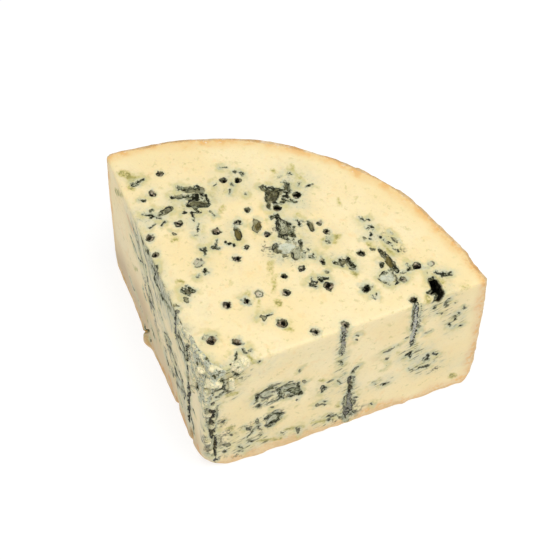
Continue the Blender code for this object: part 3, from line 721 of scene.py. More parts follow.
def lump_gap(x, y, z, lump):
    """Distance outside one of the lumps on the crumbled point: between a ball and a box in shape."""
    x0, y0, below, long, wide, high, turn = lump
    over, aside = turned(x - x0, y - y0, turn)
    shares = [np.abs(over) / long, np.abs(aside) / wide, np.abs(z - HEIGHT + below) / high]
    ball = np.sqrt(sum(share * share for share in shares))
    box = np.maximum.reduce(np.broadcast_arrays(*shares))
    shape = 0.45 * ball + 0.55 * box - 0.9 + roughness(x, y, z, LUMP_ROUGH)
    return shape * min(long, wide, high)


def crumble_point(field):
    place, x, y, z = window((-30, -6, 50), (34, 34, HEIGHT + 2))
    share = crumble_share(x, y, z)
    broken = crumble_face(x, y, z) + 0.5 + crag(x, y, z) * np.clip(share * 1.5, 0, 1)
    part = soft_max(field[place], broken, 0.8)
    part = part + 0.5 * crag(x, y, z) * bell(share, 0.35, 0.3)
    for lump in LUMPS_ON_POINT:
        part = soft_min(part, lump_gap(x, y, z, lump), 0.9)
    field[place] = part


def crag(x, y, z):
    """How far a crumbled surface stands back: less than 0 on a crumb, some millimetres in a crease."""
    coarse = crumbs(x, y, z, 6.0) - 0.5
    fine = crumbs(x, y, z, 2.8, 4) - 0.5
    return 3.4 * coarse + 1.5 * fine + 0.4 * wander(x, y, z, 1.5)


def roughen(field):
    """The skin of each face: smooth paste, bumpy rind, ragged left edge and pitted mould."""
    place = np.nonzero(np.abs(field) < SKIN)
    x, y, z = XS[place[0]], YS[place[1]], ZS[place[2]]
    rind = beyond_rind(x, y, z)
    cut = np.maximum(np.maximum(beyond_right(x, y), beyond_left(x, y)), z - HEIGHT)
    on_rind = ease(np.maximum(rind, -z) - cut, -1.0, 1.0)
    amount = roughness(x, y, z, PASTE_ROUGH) * (1 - on_rind) + roughness(x, y, z, RIND_ROUGH) * on_rind
    foot = ease(z, 4.0, 0.0)
    amount = amount + foot * 0.5 * wander(x, y, z, 4.0, 1.0)
    amount = np.where(z < 0.6, np.abs(amount) * 0.4, amount)
    field[place] += amount + roughness(x, y, z, RAGGED_ROUGH, 1.0) * near_left_edge(x, y, z)
    for marks in face_marks(x, y, z):
        field[place] += marks


def near_left_edge(x, y, z):
    """1 on the ragged part of the top's left edge, falling to 0 a few millimetres away."""
    away = np.maximum(-beyond_left(x, y), 0) + np.maximum(HEIGHT - z, 0)
    return np.exp(-away / RAGGED_REACH) * ease(along_cut(LEFT_CUT, x, y), *RAGGED_END)


def face_marks(x, y, z):
    """How much lower mould leaves each face, with its own roughness."""
    for (u, v, behind), dark, grey in zip(faces(x, y, z), MARKS["dark"], MARKS["grey"]):
        near = np.abs(behind) < SKIN
        lowered = np.zeros(len(x), np.float32)
        gap = strokes_distance(u[near], v[near], dark + grey)
        pitted = 0.45 + 0.5 * wander(u[near], v[near], 0, 1.5, 6.0)
        lowered[near] = ease(gap, 0.6, -0.5) * pitted
        yield lowered


# ================================================================ marks
def warp(u, v, amount=1.0):
    """Moves places about a little, so that a stroke's outline is ragged."""
    du = roughness(u, v, 0, ((0.8, 3.0, 1.0), (0.45, 1.2, 2.0)))
    dv = roughness(u, v, 0, ((0.8, 3.0, 3.0), (0.45, 1.2, 4.0)))
    return u + du * amount, v + dv * amount


def strokes_distance(u, v, marks):
    """Distance from each place to the nearest stroke's ragged edge, less than 0 inside."""
    u, v = warp(u, v)
    nearest = np.full(np.shape(u), 2 * FAR, np.float32)
    for stroke in marks:
        np.minimum(nearest, stroke_distance(u, v, stroke), out=nearest)
    return nearest


def haze_amount(u, v, patches):
    """How strong haze is, from 0 to 1, where soft patches lie over each other."""
    u, v = warp(u, v, 1.6)
    most = np.zeros(np.shape(u), np.float32)
    for u0, v0, long, wide, turn, strength in patches:
        along, aside = turned(u - u0, v - v0, turn)
        share = strength * ease(np.hypot(along / long, aside / wide), 1.8, 0.3)
        most = most + share * (1 - most)
    return most


# ================================================================ meshing
CORNERS = [(i, j, k) for i in (0, 1) for j in (0, 1) for k in (0, 1)]
STEPS = ((1, 0, 0), (0, 1, 0), (0, 0, 1))
EDGES = [(a, b) for a in CORNERS for b in CORNERS if tuple(np.subtract(b, a)) in STEPS]


def shifted(values, corner):
    return values[tuple(slice(c, n - 1 + c) for c, n in zip(corner, values.shape))]


def net(field):
    """One vertex in each cell that the surface passes through, and a quad across each crossed grid edge."""
    inside = field < 0
    count = sum(shifted(inside, corner).astype(np.int8) for corner in CORNERS)
    active = (count > 0) & (count < 8)
    cells = np.argwhere(active)
    number = np.full(active.shape, -1, np.int32)
    number[active] = np.arange(len(cells))
    total = np.zeros((len(cells), 3))
    hits = np.zeros(len(cells))
    i, j, k = cells.T
    for a, b in EDGES:
        value_a = field[i + a[0], j + a[1], k + a[2]]
        value_b = field[i + b[0], j + b[1], k + b[2]]
        crossed = (value_a < 0) != (value_b < 0)
        share = value_a[crossed] / (value_a[crossed] - value_b[crossed])
        total[crossed] += np.array(a) + share[:, None] * (np.array(b) - np.array(a))
        hits[crossed] += 1
    places = cells + total / hits[:, None]
    quads = []
    for axis in range(3):
        u, v = (axis + 1) % 3, (axis + 2) % 3
        step = np.zeros(3, int)
        step[axis] = 1
        low = inside[tuple(slice(0, n - s) for n, s in zip(inside.shape, step))]
        high = inside[tuple(slice(s, n) for n, s in zip(inside.shape, step))]
        crossing = np.argwhere(low != high)
        crossing = crossing[(crossing[:, u] > 0) & (crossing[:, v] > 0)]
        crossing = crossing[(crossing[:, u] < active.shape[u]) & (crossing[:, v] < active.shape[v])]
        back_u, back_v = np.zeros(3, int), np.zeros(3, int)
        back_u[u], back_v[v] = 1, 1
        ring = [crossing - back_u - back_v, crossing - back_v, crossing, crossing - back_u]
        quad = np.stack([number[tuple(c.T)] for c in ring], axis=1)
        outward = inside[tuple(crossing.T)]
        quads.append(np.where(outward[:, None], quad, quad[:, ::-1]))
    return places * CELL + (XS[0], YS[0], ZS[0]), np.concatenate(quads)


def largest_body(places, quads):
    """Leaves out crumbs that float clear of the wedge."""
    label = np.arange(len(places))
    while True:
        lowest = label[quads].min(1)
        merged = label.copy()
        np.minimum.at(merged, quads.ravel(), np.repeat(lowest, 4))
        merged = merged[merged]
        if np.array_equal(merged, label):
            break
        label = merged
    main = np.bincount(label).argmax()
    keep = label == main
    renumber = np.cumsum(keep) - 1
    return places[keep], renumber[quads[keep[quads[:, 0]]]]


def point_in_frame():
    """Where the bottom of the wedge's point is, in metres."""
    middle = (cheese_low + cheese_high) / 2
    return np.array((middle.x, middle.y, cheese_low.z)) + np.array((*POINT_FROM_MIDDLE, 0)) * MM


def to_frame(places):
    """Millimetres from the wedge's point to metres in the frame."""
    return point_in_frame() + places * MM


def from_frame(places):
    """Metres in the frame to millimetres from the wedge's point."""
    return (places - point_in_frame()) / MM


def mesh_from(places, faces, name):
    mesh = bpy.data.meshes.new(name)
    sides = faces.shape[1]
    mesh.vertices.add(len(places))
    mesh.vertices.foreach_set("co", to_frame(places).astype(np.float32).ravel())
    mesh.loops.add(faces.size)
    mesh.loops.foreach_set("vertex_index", faces.astype(np.int32).ravel())
    mesh.polygons.add(len(faces))
    mesh.polygons.foreach_set("loop_start", np.arange(0, faces.size, sides, dtype=np.int32))
    mesh.update(calc_edges=True)
    mesh.validate()
    return mesh


def add_object(name, data):
    made = bpy.data.objects.new(name, data)
    bpy.context.scene.collection.objects.link(made)
    return made


def read_places(mesh):
    """Where the mesh's vertices are, in millimetres from the wedge's point."""
    flat = np.zeros(len(mesh.vertices) * 3, np.float32)
    mesh.vertices.foreach_get("co", flat)
    return from_frame(flat.reshape(-1, 3).astype(float))


def plainness(places):
    """1 where the surface is plain and can do with large triangles, 0 by holes and mould."""
    x, y, z = places.T.astype(np.float32)
    nearest = np.full(len(x), FAR, np.float32)
    olive_to_spare = (TOP_OLIVE, (), ())
    for (u, v, behind), *kinds in zip(faces(x, y, z), MARKS["dark"], MARKS["grey"], olive_to_spare):
        near = behind < 6
        gap = strokes_distance(u[near], v[near], sum(kinds, ()))
        nearest[near] = np.minimum(nearest[near], gap)
    for x0, y0, radius, _ in NEEDLE_HOLES:
        gap = np.hypot(x - x0, y - y0) - radius + np.maximum(HEIGHT - z - HOLE_DEPTH, 0)
        nearest = np.minimum(nearest, gap)
    plain = np.minimum(ease(nearest, 0.5, 4.0), ease(crumble_face(x, y, z), -2.0, -7.0))
    back = ease(beyond_rind(x, y, z), -6, -2)
    return np.maximum(plain * 0.6, np.maximum(back * 0.8, ease(z, 0.8, 0.3)))


PLAIN_WEIGHT = 0.0006   # how strongly plainness guides which triangles are collapsed


def thin_out(cheese):
    """Fewer triangles, most of all where the surface is plain."""
    group = cheese.vertex_groups.new(name="plain")
    weights = plainness(read_places(cheese.data))
    for level in range(1, 11):
        chosen = np.nonzero(np.round(weights * 10) == level)[0]
        group.add(chosen.tolist(), level / 10, "REPLACE")
    collapse = cheese.modifiers.new("fewer_triangles", "DECIMATE")
    collapse.ratio = TRIANGLES / (2 * len(cheese.data.polygons))
    collapse.vertex_group = group.name
    collapse.vertex_group_factor = PLAIN_WEIGHT
    collapse.use_collapse_triangulate = True
    depsgraph = bpy.context.evaluated_depsgraph_get()
    thinned = bpy.data.meshes.new_from_object(cheese.evaluated_get(depsgraph))
    cheese.modifiers.clear()
    cheese.vertex_groups.clear()
    old = cheese.data
    cheese.data = thinned
    bpy.data.meshes.remove(old)
    thinned.name = cheese.name


# ================================================================ what each vertex knows
def marks_at(x, y, z, marks_by_face):
    """Distance to the nearest stroke of one kind on any of the three faces."""
    nearest = np.full(len(x), FAR, np.float32)
    for (u, v, behind), marks in zip(faces(x, y, z), marks_by_face):
        near = behind < HAZE_REACH
        gap = strokes_distance(u[near], v[near], marks) + 0.7 * np.maximum(behind[near] - 1.2, 0)
        on_a_cut = v is z
        if on_a_cut:
            gap = gap + 2.5 * behind[near] * ease(z[near], HEIGHT - 0.9, HEIGHT - 0.3)
        nearest[near] = np.minimum(nearest[near], gap)
    return nearest


def edge_mould(x, y, z):
    """How strong the band of mould along the top of the left cut is."""
    s = along_cut(LEFT_CUT, x, y)
    inward = np.maximum(-beyond_left(x, y), 0)
    below = np.maximum(HEIGHT - z, 0)
    reach = 11.0 + 7.0 * wander(s, z, 0, 14.0, 2.0)
    return ease(inward, 1.6, 0.2) * ease(below, reach * 1.6, reach * 0.3) * ease(s, 98, 78)


def mould_facts(x, y, z):
    """Distance to each kind of mark, how strong haze is, and how much mould there is."""
    facts = {name: marks_at(x, y, z, marks) for name, marks in MARKS.items()}
    haze = np.zeros(len(x), np.float32)
    for (u, v, behind), patches in zip(faces(x, y, z), (TOP_HAZE, RIGHT_HAZE, LEFT_HAZE)):
        share = haze_amount(u, v, patches) * ease(behind, HAZE_REACH, 1.5)
        haze = haze + share * (1 - haze)
    edge = edge_mould(x, y, z)
    haze = haze + edge * (1 - haze)
    mould = np.maximum(0.75 * ease(facts["dark"], 1.4, -0.2), 0.85 * ease(facts["grey"], 1.4, -0.8))
    mould = np.maximum(mould, np.maximum(0.28 * haze, 0.6 * edge)) + 0.1 * haze
    return {**facts, "haze": haze, "mould": mould}


def hole_facts(x, y, z):
    """Distance to needle holes, their open cores and the cavity, and what fills holes and pockets."""
    hole, core, filled = np.full(len(x), FAR), np.full(len(x), FAR), np.zeros(len(x))
    for each in NEEDLE_HOLES:
        gap = hole_side(x, y, z, each)
        filled = np.where(gap < hole, each[-1], filled)
        hole = np.minimum(hole, gap)
        core = np.minimum(core, core_side(x, y, z, each))
    deep = 3 * ease(z, HEIGHT - 7, HEIGHT - 10)
    pale_floor = np.where(z > HEIGHT - 3, 0.3, 0.75)
    for x0, y0, long, wide, _, _, pale in TOP_POCKETS:
        inside = (np.hypot(x - x0, y - y0) < (long + wide) / 2 + 0.6) & (z > HEIGHT - 6)
        pale_floor[inside] = pale
    cavity = np.where(z > HEIGHT - CAVITY_DEPTH - 3, cavity_side(x, y, z), FAR)
    facts = {"hole": hole + deep, "core": core + deep, "cavity": cavity}
    return {**facts, "filled": filled, "pale_floor": pale_floor}


def channel_facts(x, y, z):
    """Distance to the nearest channel, and how pale its lining is."""
    channel, pale = np.full(len(x), FAR), np.zeros(len(x))
    for angle, beyond, _, channels in CUTS:
        s, behind = along_cut(angle, x, y), np.minimum(beyond(x, y) + 1.5, 0)
        for each in channels:
            gap = channel_side(s, behind, z, each)
            pale = np.where(gap < channel, each[-1], pale)
            channel = np.minimum(channel, gap)
    return {"channel": channel, "lining": pale}


def point_facts(x, y, z):
    """Distance to the beads and lumps, and how far the crumbled point's surface stands back."""
    bead = np.full(len(x), FAR)
    for s0, z0, radius in BEADS:
        x0, y0, z0 = on_cut(RIGHT_CUT, s0 + BEAD_ASIDE, z0)
        bead = np.minimum(bead, np.sqrt((x - x0) ** 2 + (y - y0) ** 2 + (z - z0) ** 2) - radius)
    for lump in LUMPS_ON_POINT:
        bead = np.minimum(bead, lump_gap(x, y, z, lump))
    return {"bead": bead, "crag": crag(x, y, z), "crumbled": crumble_share(x, y, z)}


def rind_facts(x, y, z):
    """Which cut a place is on, how near the rind, the painted shade towards the foot of the left cut, and how
    deep below the clean faces.
    """
    right, left, wall = beyond_right(x, y), beyond_left(x, y), -beyond_rind(x, y, z)
    along_right, along_left = along_cut(RIGHT_CUT, x, y), along_cut(LEFT_CUT, x, y)
    on_left, below_top = ease(left, -6, -1), ease(HEIGHT - z, 0.3, 1.0)
    band = 3.6 + 1.6 * wander(x, y, z, 9.0) + 2.2 * bell(along_right, 36, 24) * ease(right, -6, -1)
    band = band + 3.0 * ease(along_left, 20, 60) * on_left
    # painted shade on the left cut: darker towards its bottom, and most of all about 92 mm along it
    tan = 0.2 * ease(along_left, 20, 90) * ease(z, 60, 30) + 0.5 * bell(along_left, 92, 18) * ease(z, 50, 20)
    stain = ease(strokes_distance(along_left, z, LEFT_STAINS), 2.5, -1.0) * ease(left, -3, -1)
    far_rim = 0.45 * ease(x, 45, 80) * bell(wall, 3.0, 2.2) * ease(z, HEIGHT - 8, HEIGHT - 1)
    clean = clean_slice(x.astype(np.float32), y.astype(np.float32), z.astype(np.float32))
    left_foot = ease(z, 16, 9) * ease(left, -7, -5)
    return {
        "right": ease(right, -4.0, -2.0) * below_top,
        "left": ease(left, -4.0, -2.0) * below_top,
        "wall": wall,
        "rind": np.minimum(wall - 1.6 - 0.8 * wander(x, y, z, 9.0, 3.0), z - band),
        # painted shade towards the bottom of the left cut
        "foot": (ease(z, 40, 6) * (0.9 + 0.5 * wander(x, y, z, 14.0, 5.0)) + tan) * on_left,
        "stain": np.maximum(stain, far_rim),
        "depth": -clean - 3.5 * near_left_edge(x, y, z) - 6.0 * left_foot,
    }


def describe(mesh):
    """Stores with each vertex what the material paints it by."""
    for facts in (mould_facts, hole_facts, channel_facts, point_facts, rind_facts):
        for name, values in facts(*read_places(mesh).T).items():
            layer = mesh.attributes.new(name, "FLOAT", "POINT")
            layer.data.foreach_set("value", values.astype(np.float32))


def make_cheese():
    field = clean_slice(XS[:, None, None], YS[None, :, None], ZS[None, None, :]).astype(np.float32)
    roughen(field)
    for cut in CUTS:
        carve_cut_face(field, *cut)
    carve_top_pockets(field)
    carve_needle_holes(field)
    carve_cavity(field)
    crumble_point(field)
    add_beads(field)
    cheese = add_object("cheese", mesh_from(*largest_body(*net(field)), "cheese"))
    thin_out(cheese)
    describe(cheese.data)
    cheese.data.shade_smooth()
    return cheese


# ================================================================ material
def linear(colour):
    """A colour as a picture has it, from 0 to 255, as the shader needs it."""
    parts = [c / 255 for c in colour]
    return tuple(p / 12.92 if p <= 0.04045 else ((p + 0.055) / 1.055) ** 2.4 for p in parts) + (1.0,)


class Graph:
    """Adds nodes to a material and joins each to what it is given: a value, or another node's output."""

    def __init__(self, name):
        self.material = bpy.data.materials.new(name)
        self.material.use_nodes = True
        self.tree = self.material.node_tree
        self.shader = self.tree.nodes["Principled BSDF"]
        self.place = self.add("ShaderNodeTexCoord").outputs["Object"]

    def add(self, kind, **settings):
        node = self.tree.nodes.new(kind)
        for key, value in settings.items():
            setattr(node, key, value)
        return node

    def plug(self, socket, value):
        if isinstance(value, bpy.types.NodeSocket):
            self.tree.links.new(value, socket)
        else:
            socket.default_value = value

    def math(self, operation, a, b=0.0):
        node = self.add("ShaderNodeMath", operation=operation)
        self.plug(node.inputs[0], a)
        self.plug(node.inputs[1], b)
        return node.outputs[0]

    def sum(self, first, *others):
        for other in others:
            first = self.math("ADD", first, other)
        return first

    def times(self, first, *others):
        for other in others:
            first = self.math("MULTIPLY", first, other)
        return first

    def vector(self, operation, a, b):
        node = self.add("ShaderNodeVectorMath", operation=operation)
        self.plug(node.inputs[0], a)
        self.plug(node.inputs[3 if operation == "SCALE" else 1], b)
        return node.outputs["Value" if operation == "DOT_PRODUCT" else "Vector"]

    def ramp(self, value, low, high, to_low=0.0, to_high=1.0):
        """to_low at low, to_high at high, smooth in between. Low may be above high."""
        node = self.add("ShaderNodeMapRange", interpolation_type="SMOOTHSTEP")
        if low > high:
            low, high, to_low, to_high = high, low, to_high, to_low
        for socket, number in zip(node.inputs, (value, low, high, to_low, to_high)):
            self.plug(socket, number)
        return node.outputs[0]

    def mix(self, share, a, b):
        node = self.add("ShaderNodeMix", data_type="RGBA")
        self.plug(node.inputs["Factor"], share)
        self.plug(node.inputs[6], a if isinstance(a, bpy.types.NodeSocket) else linear(a))
        self.plug(node.inputs[7], b if isinstance(b, bpy.types.NodeSocket) else linear(b))
        return node.outputs[2]

    def mix_vectors(self, share, a, b):
        node = self.add("ShaderNodeMix", data_type="VECTOR")
        for index, value in ((0, share), (4, a), (5, b)):
            self.plug(node.inputs[index], value)
        return node.outputs[1]

    def noise_node(self, place, size, detail):
        node = self.add("ShaderNodeTexNoise")
        self.plug(node.inputs["Vector"], place)
        self.plug(node.inputs["Scale"], 1 / (size * MM))
        self.plug(node.inputs["Detail"], detail)
        return node

    def noise(self, size, detail=2.0, roughness=0.5, shift=0.0, place=None):
        """Noise from 0 to 1 that varies over about that many millimetres."""
        shifted = self.vector("ADD", place or self.place, (shift, shift, shift))
        node = self.noise_node(shifted, size, detail)
        self.plug(node.inputs["Roughness"], roughness)
        return node.outputs["Fac"]

    def jiggle(self, size, amount, place=None):
        """The place, moved about by up to that many millimetres."""
        place = place or self.place
        node = self.noise_node(place, size, 1.0)
        off = self.vector("SUBTRACT", node.outputs["Color"], (0.5, 0.5, 0.5))
        return self.vector("ADD", place, self.vector("SCALE", off, 2 * amount * MM))

    def stretched(self, direction, share):
        """The place without that share of its run along a direction, so that patterns run that way."""
        run = self.vector("DOT_PRODUCT", self.place, direction)
        along = self.vector("SCALE", direction, self.times(run, share))
        return self.vector("SUBTRACT", self.place, along)

    def grains(self, size, place):
        """A scatter of grains, each with its own number from 0 to 1."""
        node = self.add("ShaderNodeTexVoronoi")
        self.plug(node.inputs["Vector"], place)
        self.plug(node.inputs["Scale"], 1 / (size * MM))
        split = self.add("ShaderNodeSeparateColor")
        self.plug(split.inputs[0], node.outputs["Color"])
        return split.outputs["Red"]

    def minus(self, first, second):
        return self.math("SUBTRACT", first, second)

    def fold(self, value, middle=0.5):
        """How far a value is from a middle, either side: small along a line."""
        return self.math("ABSOLUTE", self.minus(value, middle))

    def swing(self, noise, amount):
        """Noise about 0 instead of about a half."""
        return self.times(self.minus(noise, 0.5), amount)

    def attribute(self, name):
        return self.add("ShaderNodeAttribute", attribute_name=name).outputs["Fac"]

    def frayed(self, name, noise, amount):
        """A distance kept on the mesh, made ragged by that much noise."""
        return self.sum(self.attribute(name), self.times(noise, amount))


# the way streaks of mould run on each cut face
RIGHT_STREAK = Vector(on_cut(RIGHT_CUT, 0.95, 0.31)).normalized()
LEFT_STREAK = Vector(on_cut(LEFT_CUT, 0.6, 0.8)).normalized()


def streaked(g, right_share, left_share, size, amount):
    """The place, stretched along each cut face's streaks by those shares and stirred up."""
    place = g.mix_vectors(g.attribute("right"), g.place, g.stretched(RIGHT_STREAK, right_share))
    place = g.mix_vectors(g.attribute("left"), place, g.stretched(LEFT_STREAK, left_share))
    return g.jiggle(size, amount, place)


def shared_noises(g):
    """The patterns that several layers of the colour use."""
    streaky = streaked(g, 0.5, 0.75, 1.7, 0.8)
    dashed = streaked(g, 0.8, 0.88, 3.0, 0.5)
    fray = g.swing(g.noise(1.8, 2, 0.5, 0.3), 2.8)
    return {
        "grain": g.noise(1.3, 3),
        "mottle": g.noise(5, 3),
        "patchy": g.noise(1.2, 2, 0.5, 0.15),
        "clumps": g.noise(4.2, 2, 0.5, 0.05),
        "ragged": g.sum(fray, g.swing(g.noise(0.7, 1, 0.5, 0.7), 0.8)),
        "specks": g.grains(0.6, streaky),
        "blot": g.noise(2.5, 2, 0.6, 0.62, streaky),
        "dashes": g.noise(1.3, 1, 0.5, 0.52, dashed),
        "vein": g.fold(g.noise(3.4, 2, 0.5, 0.45, streaky)),
        "thread": g.fold(g.noise(2.0, 1, 0.5, 0.95, streaky)),
    }


def paste(g, n):
    """Pale, warmer in broad patches and towards the rind, with faint orange and green-yellow stains, and
    painted shade towards the bottom of the left cut.
    """
    colour = g.mix(g.ramp(g.noise(26), 0.35, 0.68), PASTE_PALE, PASTE_WARM)
    colour = g.mix(g.ramp(n["mottle"], 0.45, 0.8, 0.0, 0.35), colour, PASTE_WARM)
    colour = g.mix(g.ramp(g.noise(1.5, 3, 0.65, 0.35), 0.48, 0.72, 0.0, 0.45), colour, PASTE_SHADE)
    colour = g.mix(g.ramp(g.noise(6, 3, 0.6, 0.62), 0.56, 0.7, 0.0, 0.4), colour, PASTE_STAIN)
    colour = g.mix(g.ramp(g.noise(3.4, 3, 0.6, 0.82), 0.58, 0.7, 0.0, 0.4), colour, FLECK)
    near_rind = g.sum(g.attribute("wall"), g.swing(g.noise(11, 3, 0.6, 0.11), 14.0))
    colour = g.mix(g.ramp(near_rind, 15.0, 0.5, 0.0, 0.9), colour, PASTE_WARM)
    patches = g.swing(g.noise(12, 2, 0.5, 0.77), 9.0)
    edge = g.sum(g.attribute("rind"), g.swing(n["grain"], 1.6), patches)
    edge_colour = g.mix(g.attribute("right"), PASTE_EDGE, PASTE_PEACH)
    colour = g.mix(g.ramp(edge, 6.5, 0.0, 0.0, 0.9), colour, edge_colour)
    orange = g.times(g.ramp(edge, 0.6, -2.0, 0.0, 0.45), g.ramp(n["clumps"], 0.4, 0.6, 0.2, 1.0))
    colour = g.mix(orange, colour, RIND_ORANGE)
    glow = g.times(g.ramp(edge, 4.5, -1.0, 0.0, 0.85), g.ramp(g.noise(7, 2, 0.5, 0.57), 0.46, 0.6))
    colour = g.mix(glow, colour, g.mix(g.attribute("right"), EDGE_GLOW, PASTE_PEACH))
    blotches = g.times(g.attribute("right"), g.ramp(edge, 4.5, -0.5, 0.0, 0.8))
    blotches = g.times(blotches, g.ramp(g.noise(2.6, 2, 0.6, 0.29), 0.46, 0.6))
    colour = g.mix(blotches, colour, EDGE_GLOW)
    dots = g.times(g.ramp(edge, 3.5, -1.0, 0.0, 0.9), g.ramp(g.noise(2.0, 3, 0.6, 0.43), 0.58, 0.66))
    dots = g.times(dots, g.ramp(n["clumps"], 0.42, 0.56, 0.15, 1.0))
    colour = g.mix(dots, colour, RIND_BLOOM)
    # painted shade: darker and browner towards the bottom of the left cut
    colour = g.mix(g.times(g.attribute("foot"), 0.85), colour, PAINTED_FOOT_SHADE)
    stain = g.ramp(g.sum(g.attribute("stain"), g.swing(n["patchy"], 0.8)), 0.2, 0.9, 0.0, 0.8)
    return g.mix(stain, colour, RIND_ORANGE)


def rind(g, n, colour, on_rind):
    """Buff, with tan and orange patches, a thin pale bloom and small dark pits. Paler by the right cut."""
    skin = g.mix(g.ramp(g.noise(14, 3, 0.6, 0.2), 0.36, 0.64), RIND_BUFF, RIND_TAN)
    skin = g.mix(g.ramp(g.noise(6, 4, 0.65, 0.5), 0.46, 0.68, 0.0, 0.6), skin, RIND_ORANGE)
    bloom = g.ramp(g.noise(3.6, 4, 0.7, 0.9), 0.5, 0.72, 0.0, 0.65)
    bloom = g.times(bloom, g.ramp(g.attribute("right"), 1.0, 0.0, 0.7, 1.0))
    skin = g.mix(bloom, skin, RIND_BLOOM)
    skin = g.mix(g.ramp(n["patchy"], 0.36, 0.26, 0.0, 0.45), skin, RIND_PIT)
    skin = g.mix(g.ramp(g.attribute("right"), 0.0, 1.0, 0.0, 0.5), skin, RIND_LIT)
    return g.mix(on_rind, colour, skin)


def haze(g, n, colour, haze_colour, nearest, on_rind):
    """Young mould: a pale blue-green haze, a halo round every mark, and yellow-green flecks."""
    level = g.times(g.attribute("haze"), g.ramp(n["clumps"], 0.3, 0.62, 0.6, 1.1))
    level = g.times(level, g.ramp(on_rind, 0.0, 1.0, 1.0, 0.25))
    colour = g.mix(g.times(level, 0.85), colour, haze_colour)
    fleck_gap = g.frayed("fleck", n["ragged"], 0.7)
    fleck = g.ramp(fleck_gap, 1.6, -0.4, 0.0, 0.9)
    colour = g.mix(g.times(fleck, g.ramp(n["patchy"], 0.35, 0.6, 0.5, 1.0)), colour, FLECK)
    core = g.ramp(fleck_gap, 0.4, -0.4, 0.0, 0.8)
    colour = g.mix(g.times(core, g.ramp(n["blot"], 0.56, 0.44)), colour, FLECK_CORE)
    near = g.sum(nearest, g.times(n["ragged"], 0.8), g.swing(n["clumps"], 6.0))
    tint = g.times(g.ramp(near, 5.0, 0.0, 0.0, 0.65), g.ramp(g.noise(6, 2, 0.5, 0.33), 0.45, 0.6))
    colour = g.mix(tint, colour, FLECK)
    return g.mix(g.ramp(near, 2.6, -0.4, 0.0, 0.7), colour, haze_colour)


def veins(g, n, colour):
    """Dark squiggles over a pale bed, thicker and closer the more mould there is."""
    presence = g.sum(g.attribute("mould"), g.swing(n["clumps"], 0.9))
    bed = g.mix(g.ramp(n["patchy"], 0.38, 0.62), HAZE_BLUE, MOULD_PALE)
    colour = g.mix(g.ramp(presence, 0.3, 0.9, 0.0, 0.85), colour, bed)
    blot = g.ramp(g.sum(n["blot"], g.times(presence, 0.16)), 0.69, 0.75, 0.0, 0.8)
    colour = g.mix(g.times(blot, g.ramp(presence, 0.2, 0.5)), colour, MOULD_GREY)
    dashes = g.ramp(n["dashes"], 0.57, 0.63, 0.0, 0.85)
    on_cuts = g.ramp(g.sum(g.attribute("right"), g.attribute("left")), 0.0, 1.0, 0.25, 1.0)
    hatched = g.times(dashes, g.ramp(presence, 0.08, 0.4), g.ramp(g.attribute("haze"), 0.15, 0.5), on_cuts)
    colour = g.mix(hatched, colour, g.mix(g.ramp(n["patchy"], 0.4, 0.6), MOULD_DEEP, OLIVE))
    thin = g.minus(n["thread"], g.minus(g.times(presence, 0.08), 0.035))
    thin = g.times(g.ramp(thin, 0.015, -0.02), g.ramp(n["patchy"], 0.44, 0.58, 0.1, 0.9))
    colour = g.mix(thin, colour, MOULD_GREEN)
    thick = g.minus(n["vein"], g.minus(g.times(presence, 0.11), 0.05))
    thick = g.times(g.ramp(thick, 0.015, -0.025), g.ramp(n["patchy"], 0.36, 0.46, 0.3, 1.0))
    return g.mix(thick, colour, g.mix(g.ramp(n["grain"], 0.42, 0.62), MOULD_DEEP, MOULD_GREEN))


def outline(g, n, gap, middle, outer, inner, low=0.0, high=1.0):
    """A line where a distance is near its middle, from outer to inner wide, and broken up in places."""
    return g.times(g.ramp(g.fold(gap, middle), outer, inner), g.ramp(n["clumps"], 0.42, 0.52, low, high))


def floor_paint(g, n, pale):
    """The floor of anything hollow: brown, olive, pale or grey by how pale it is, with dark threads."""
    colour = g.mix(g.ramp(n["blot"], 0.42, 0.54), OLIVE_DARK, OLIVE)
    colour = g.mix(g.ramp(pale, -0.15, -0.45), colour, FLOOR_BROWN)
    colour = g.mix(g.ramp(pale, 0.2, 0.5), colour, FLOOR_PALE)
    colour = g.mix(g.ramp(pale, 0.7, 0.95), colour, FLOOR_GREY)
    calm = g.ramp(pale, 0.6, 1.0, 1.0, 0.3)
    colour = g.mix(g.times(g.ramp(n["patchy"], 0.4, 0.3, 0.0, 0.7), calm), colour, OLIVE)
    return g.mix(g.times(g.ramp(n["vein"], 0.03, 0.01, 0.0, 0.6), calm), colour, MOULD_BLACK)


def hollows(g, n, colour, olive_gap):
    """Olive pockets, and what is hollow: its floor, and a dark lip where there is haze."""
    olive_colour = g.mix(g.ramp(n["patchy"], 0.35, 0.65), OLIVE, OLIVE_PALE)
    olive = g.sum(olive_gap, g.times(n["ragged"], 0.5))
    colour = g.mix(g.ramp(olive, 0.3, -0.3, 0.0, 0.9), colour, olive_colour)
    colour = g.mix(outline(g, n, olive, 0.0, 0.5, 0.15, 0.1, 0.9), colour, MOULD_DEEP)
    sound = g.ramp(g.attribute("crumbled"), 0.12, 0.0)
    floor = g.sum(g.attribute("depth"), g.swing(n["patchy"], 0.5))
    pale = g.sum(g.attribute("pale_floor"), g.swing(g.noise(4.4, 1, 0.5, 0.37), 0.6))
    on_floor = g.times(g.ramp(floor, 0.6, 1.0, 0.0, 0.95), sound)
    colour = g.mix(on_floor, colour, floor_paint(g, n, pale))
    lip = g.times(outline(g, n, floor, 0.5, 0.26, 0.1), sound)
    lip = g.times(lip, g.ramp(g.attribute("haze"), 0.1, 0.4), g.ramp(pale, 0.5, 1.0, 1.0, 0.45))
    return g.mix(lip, colour, MOULD_BLACK)


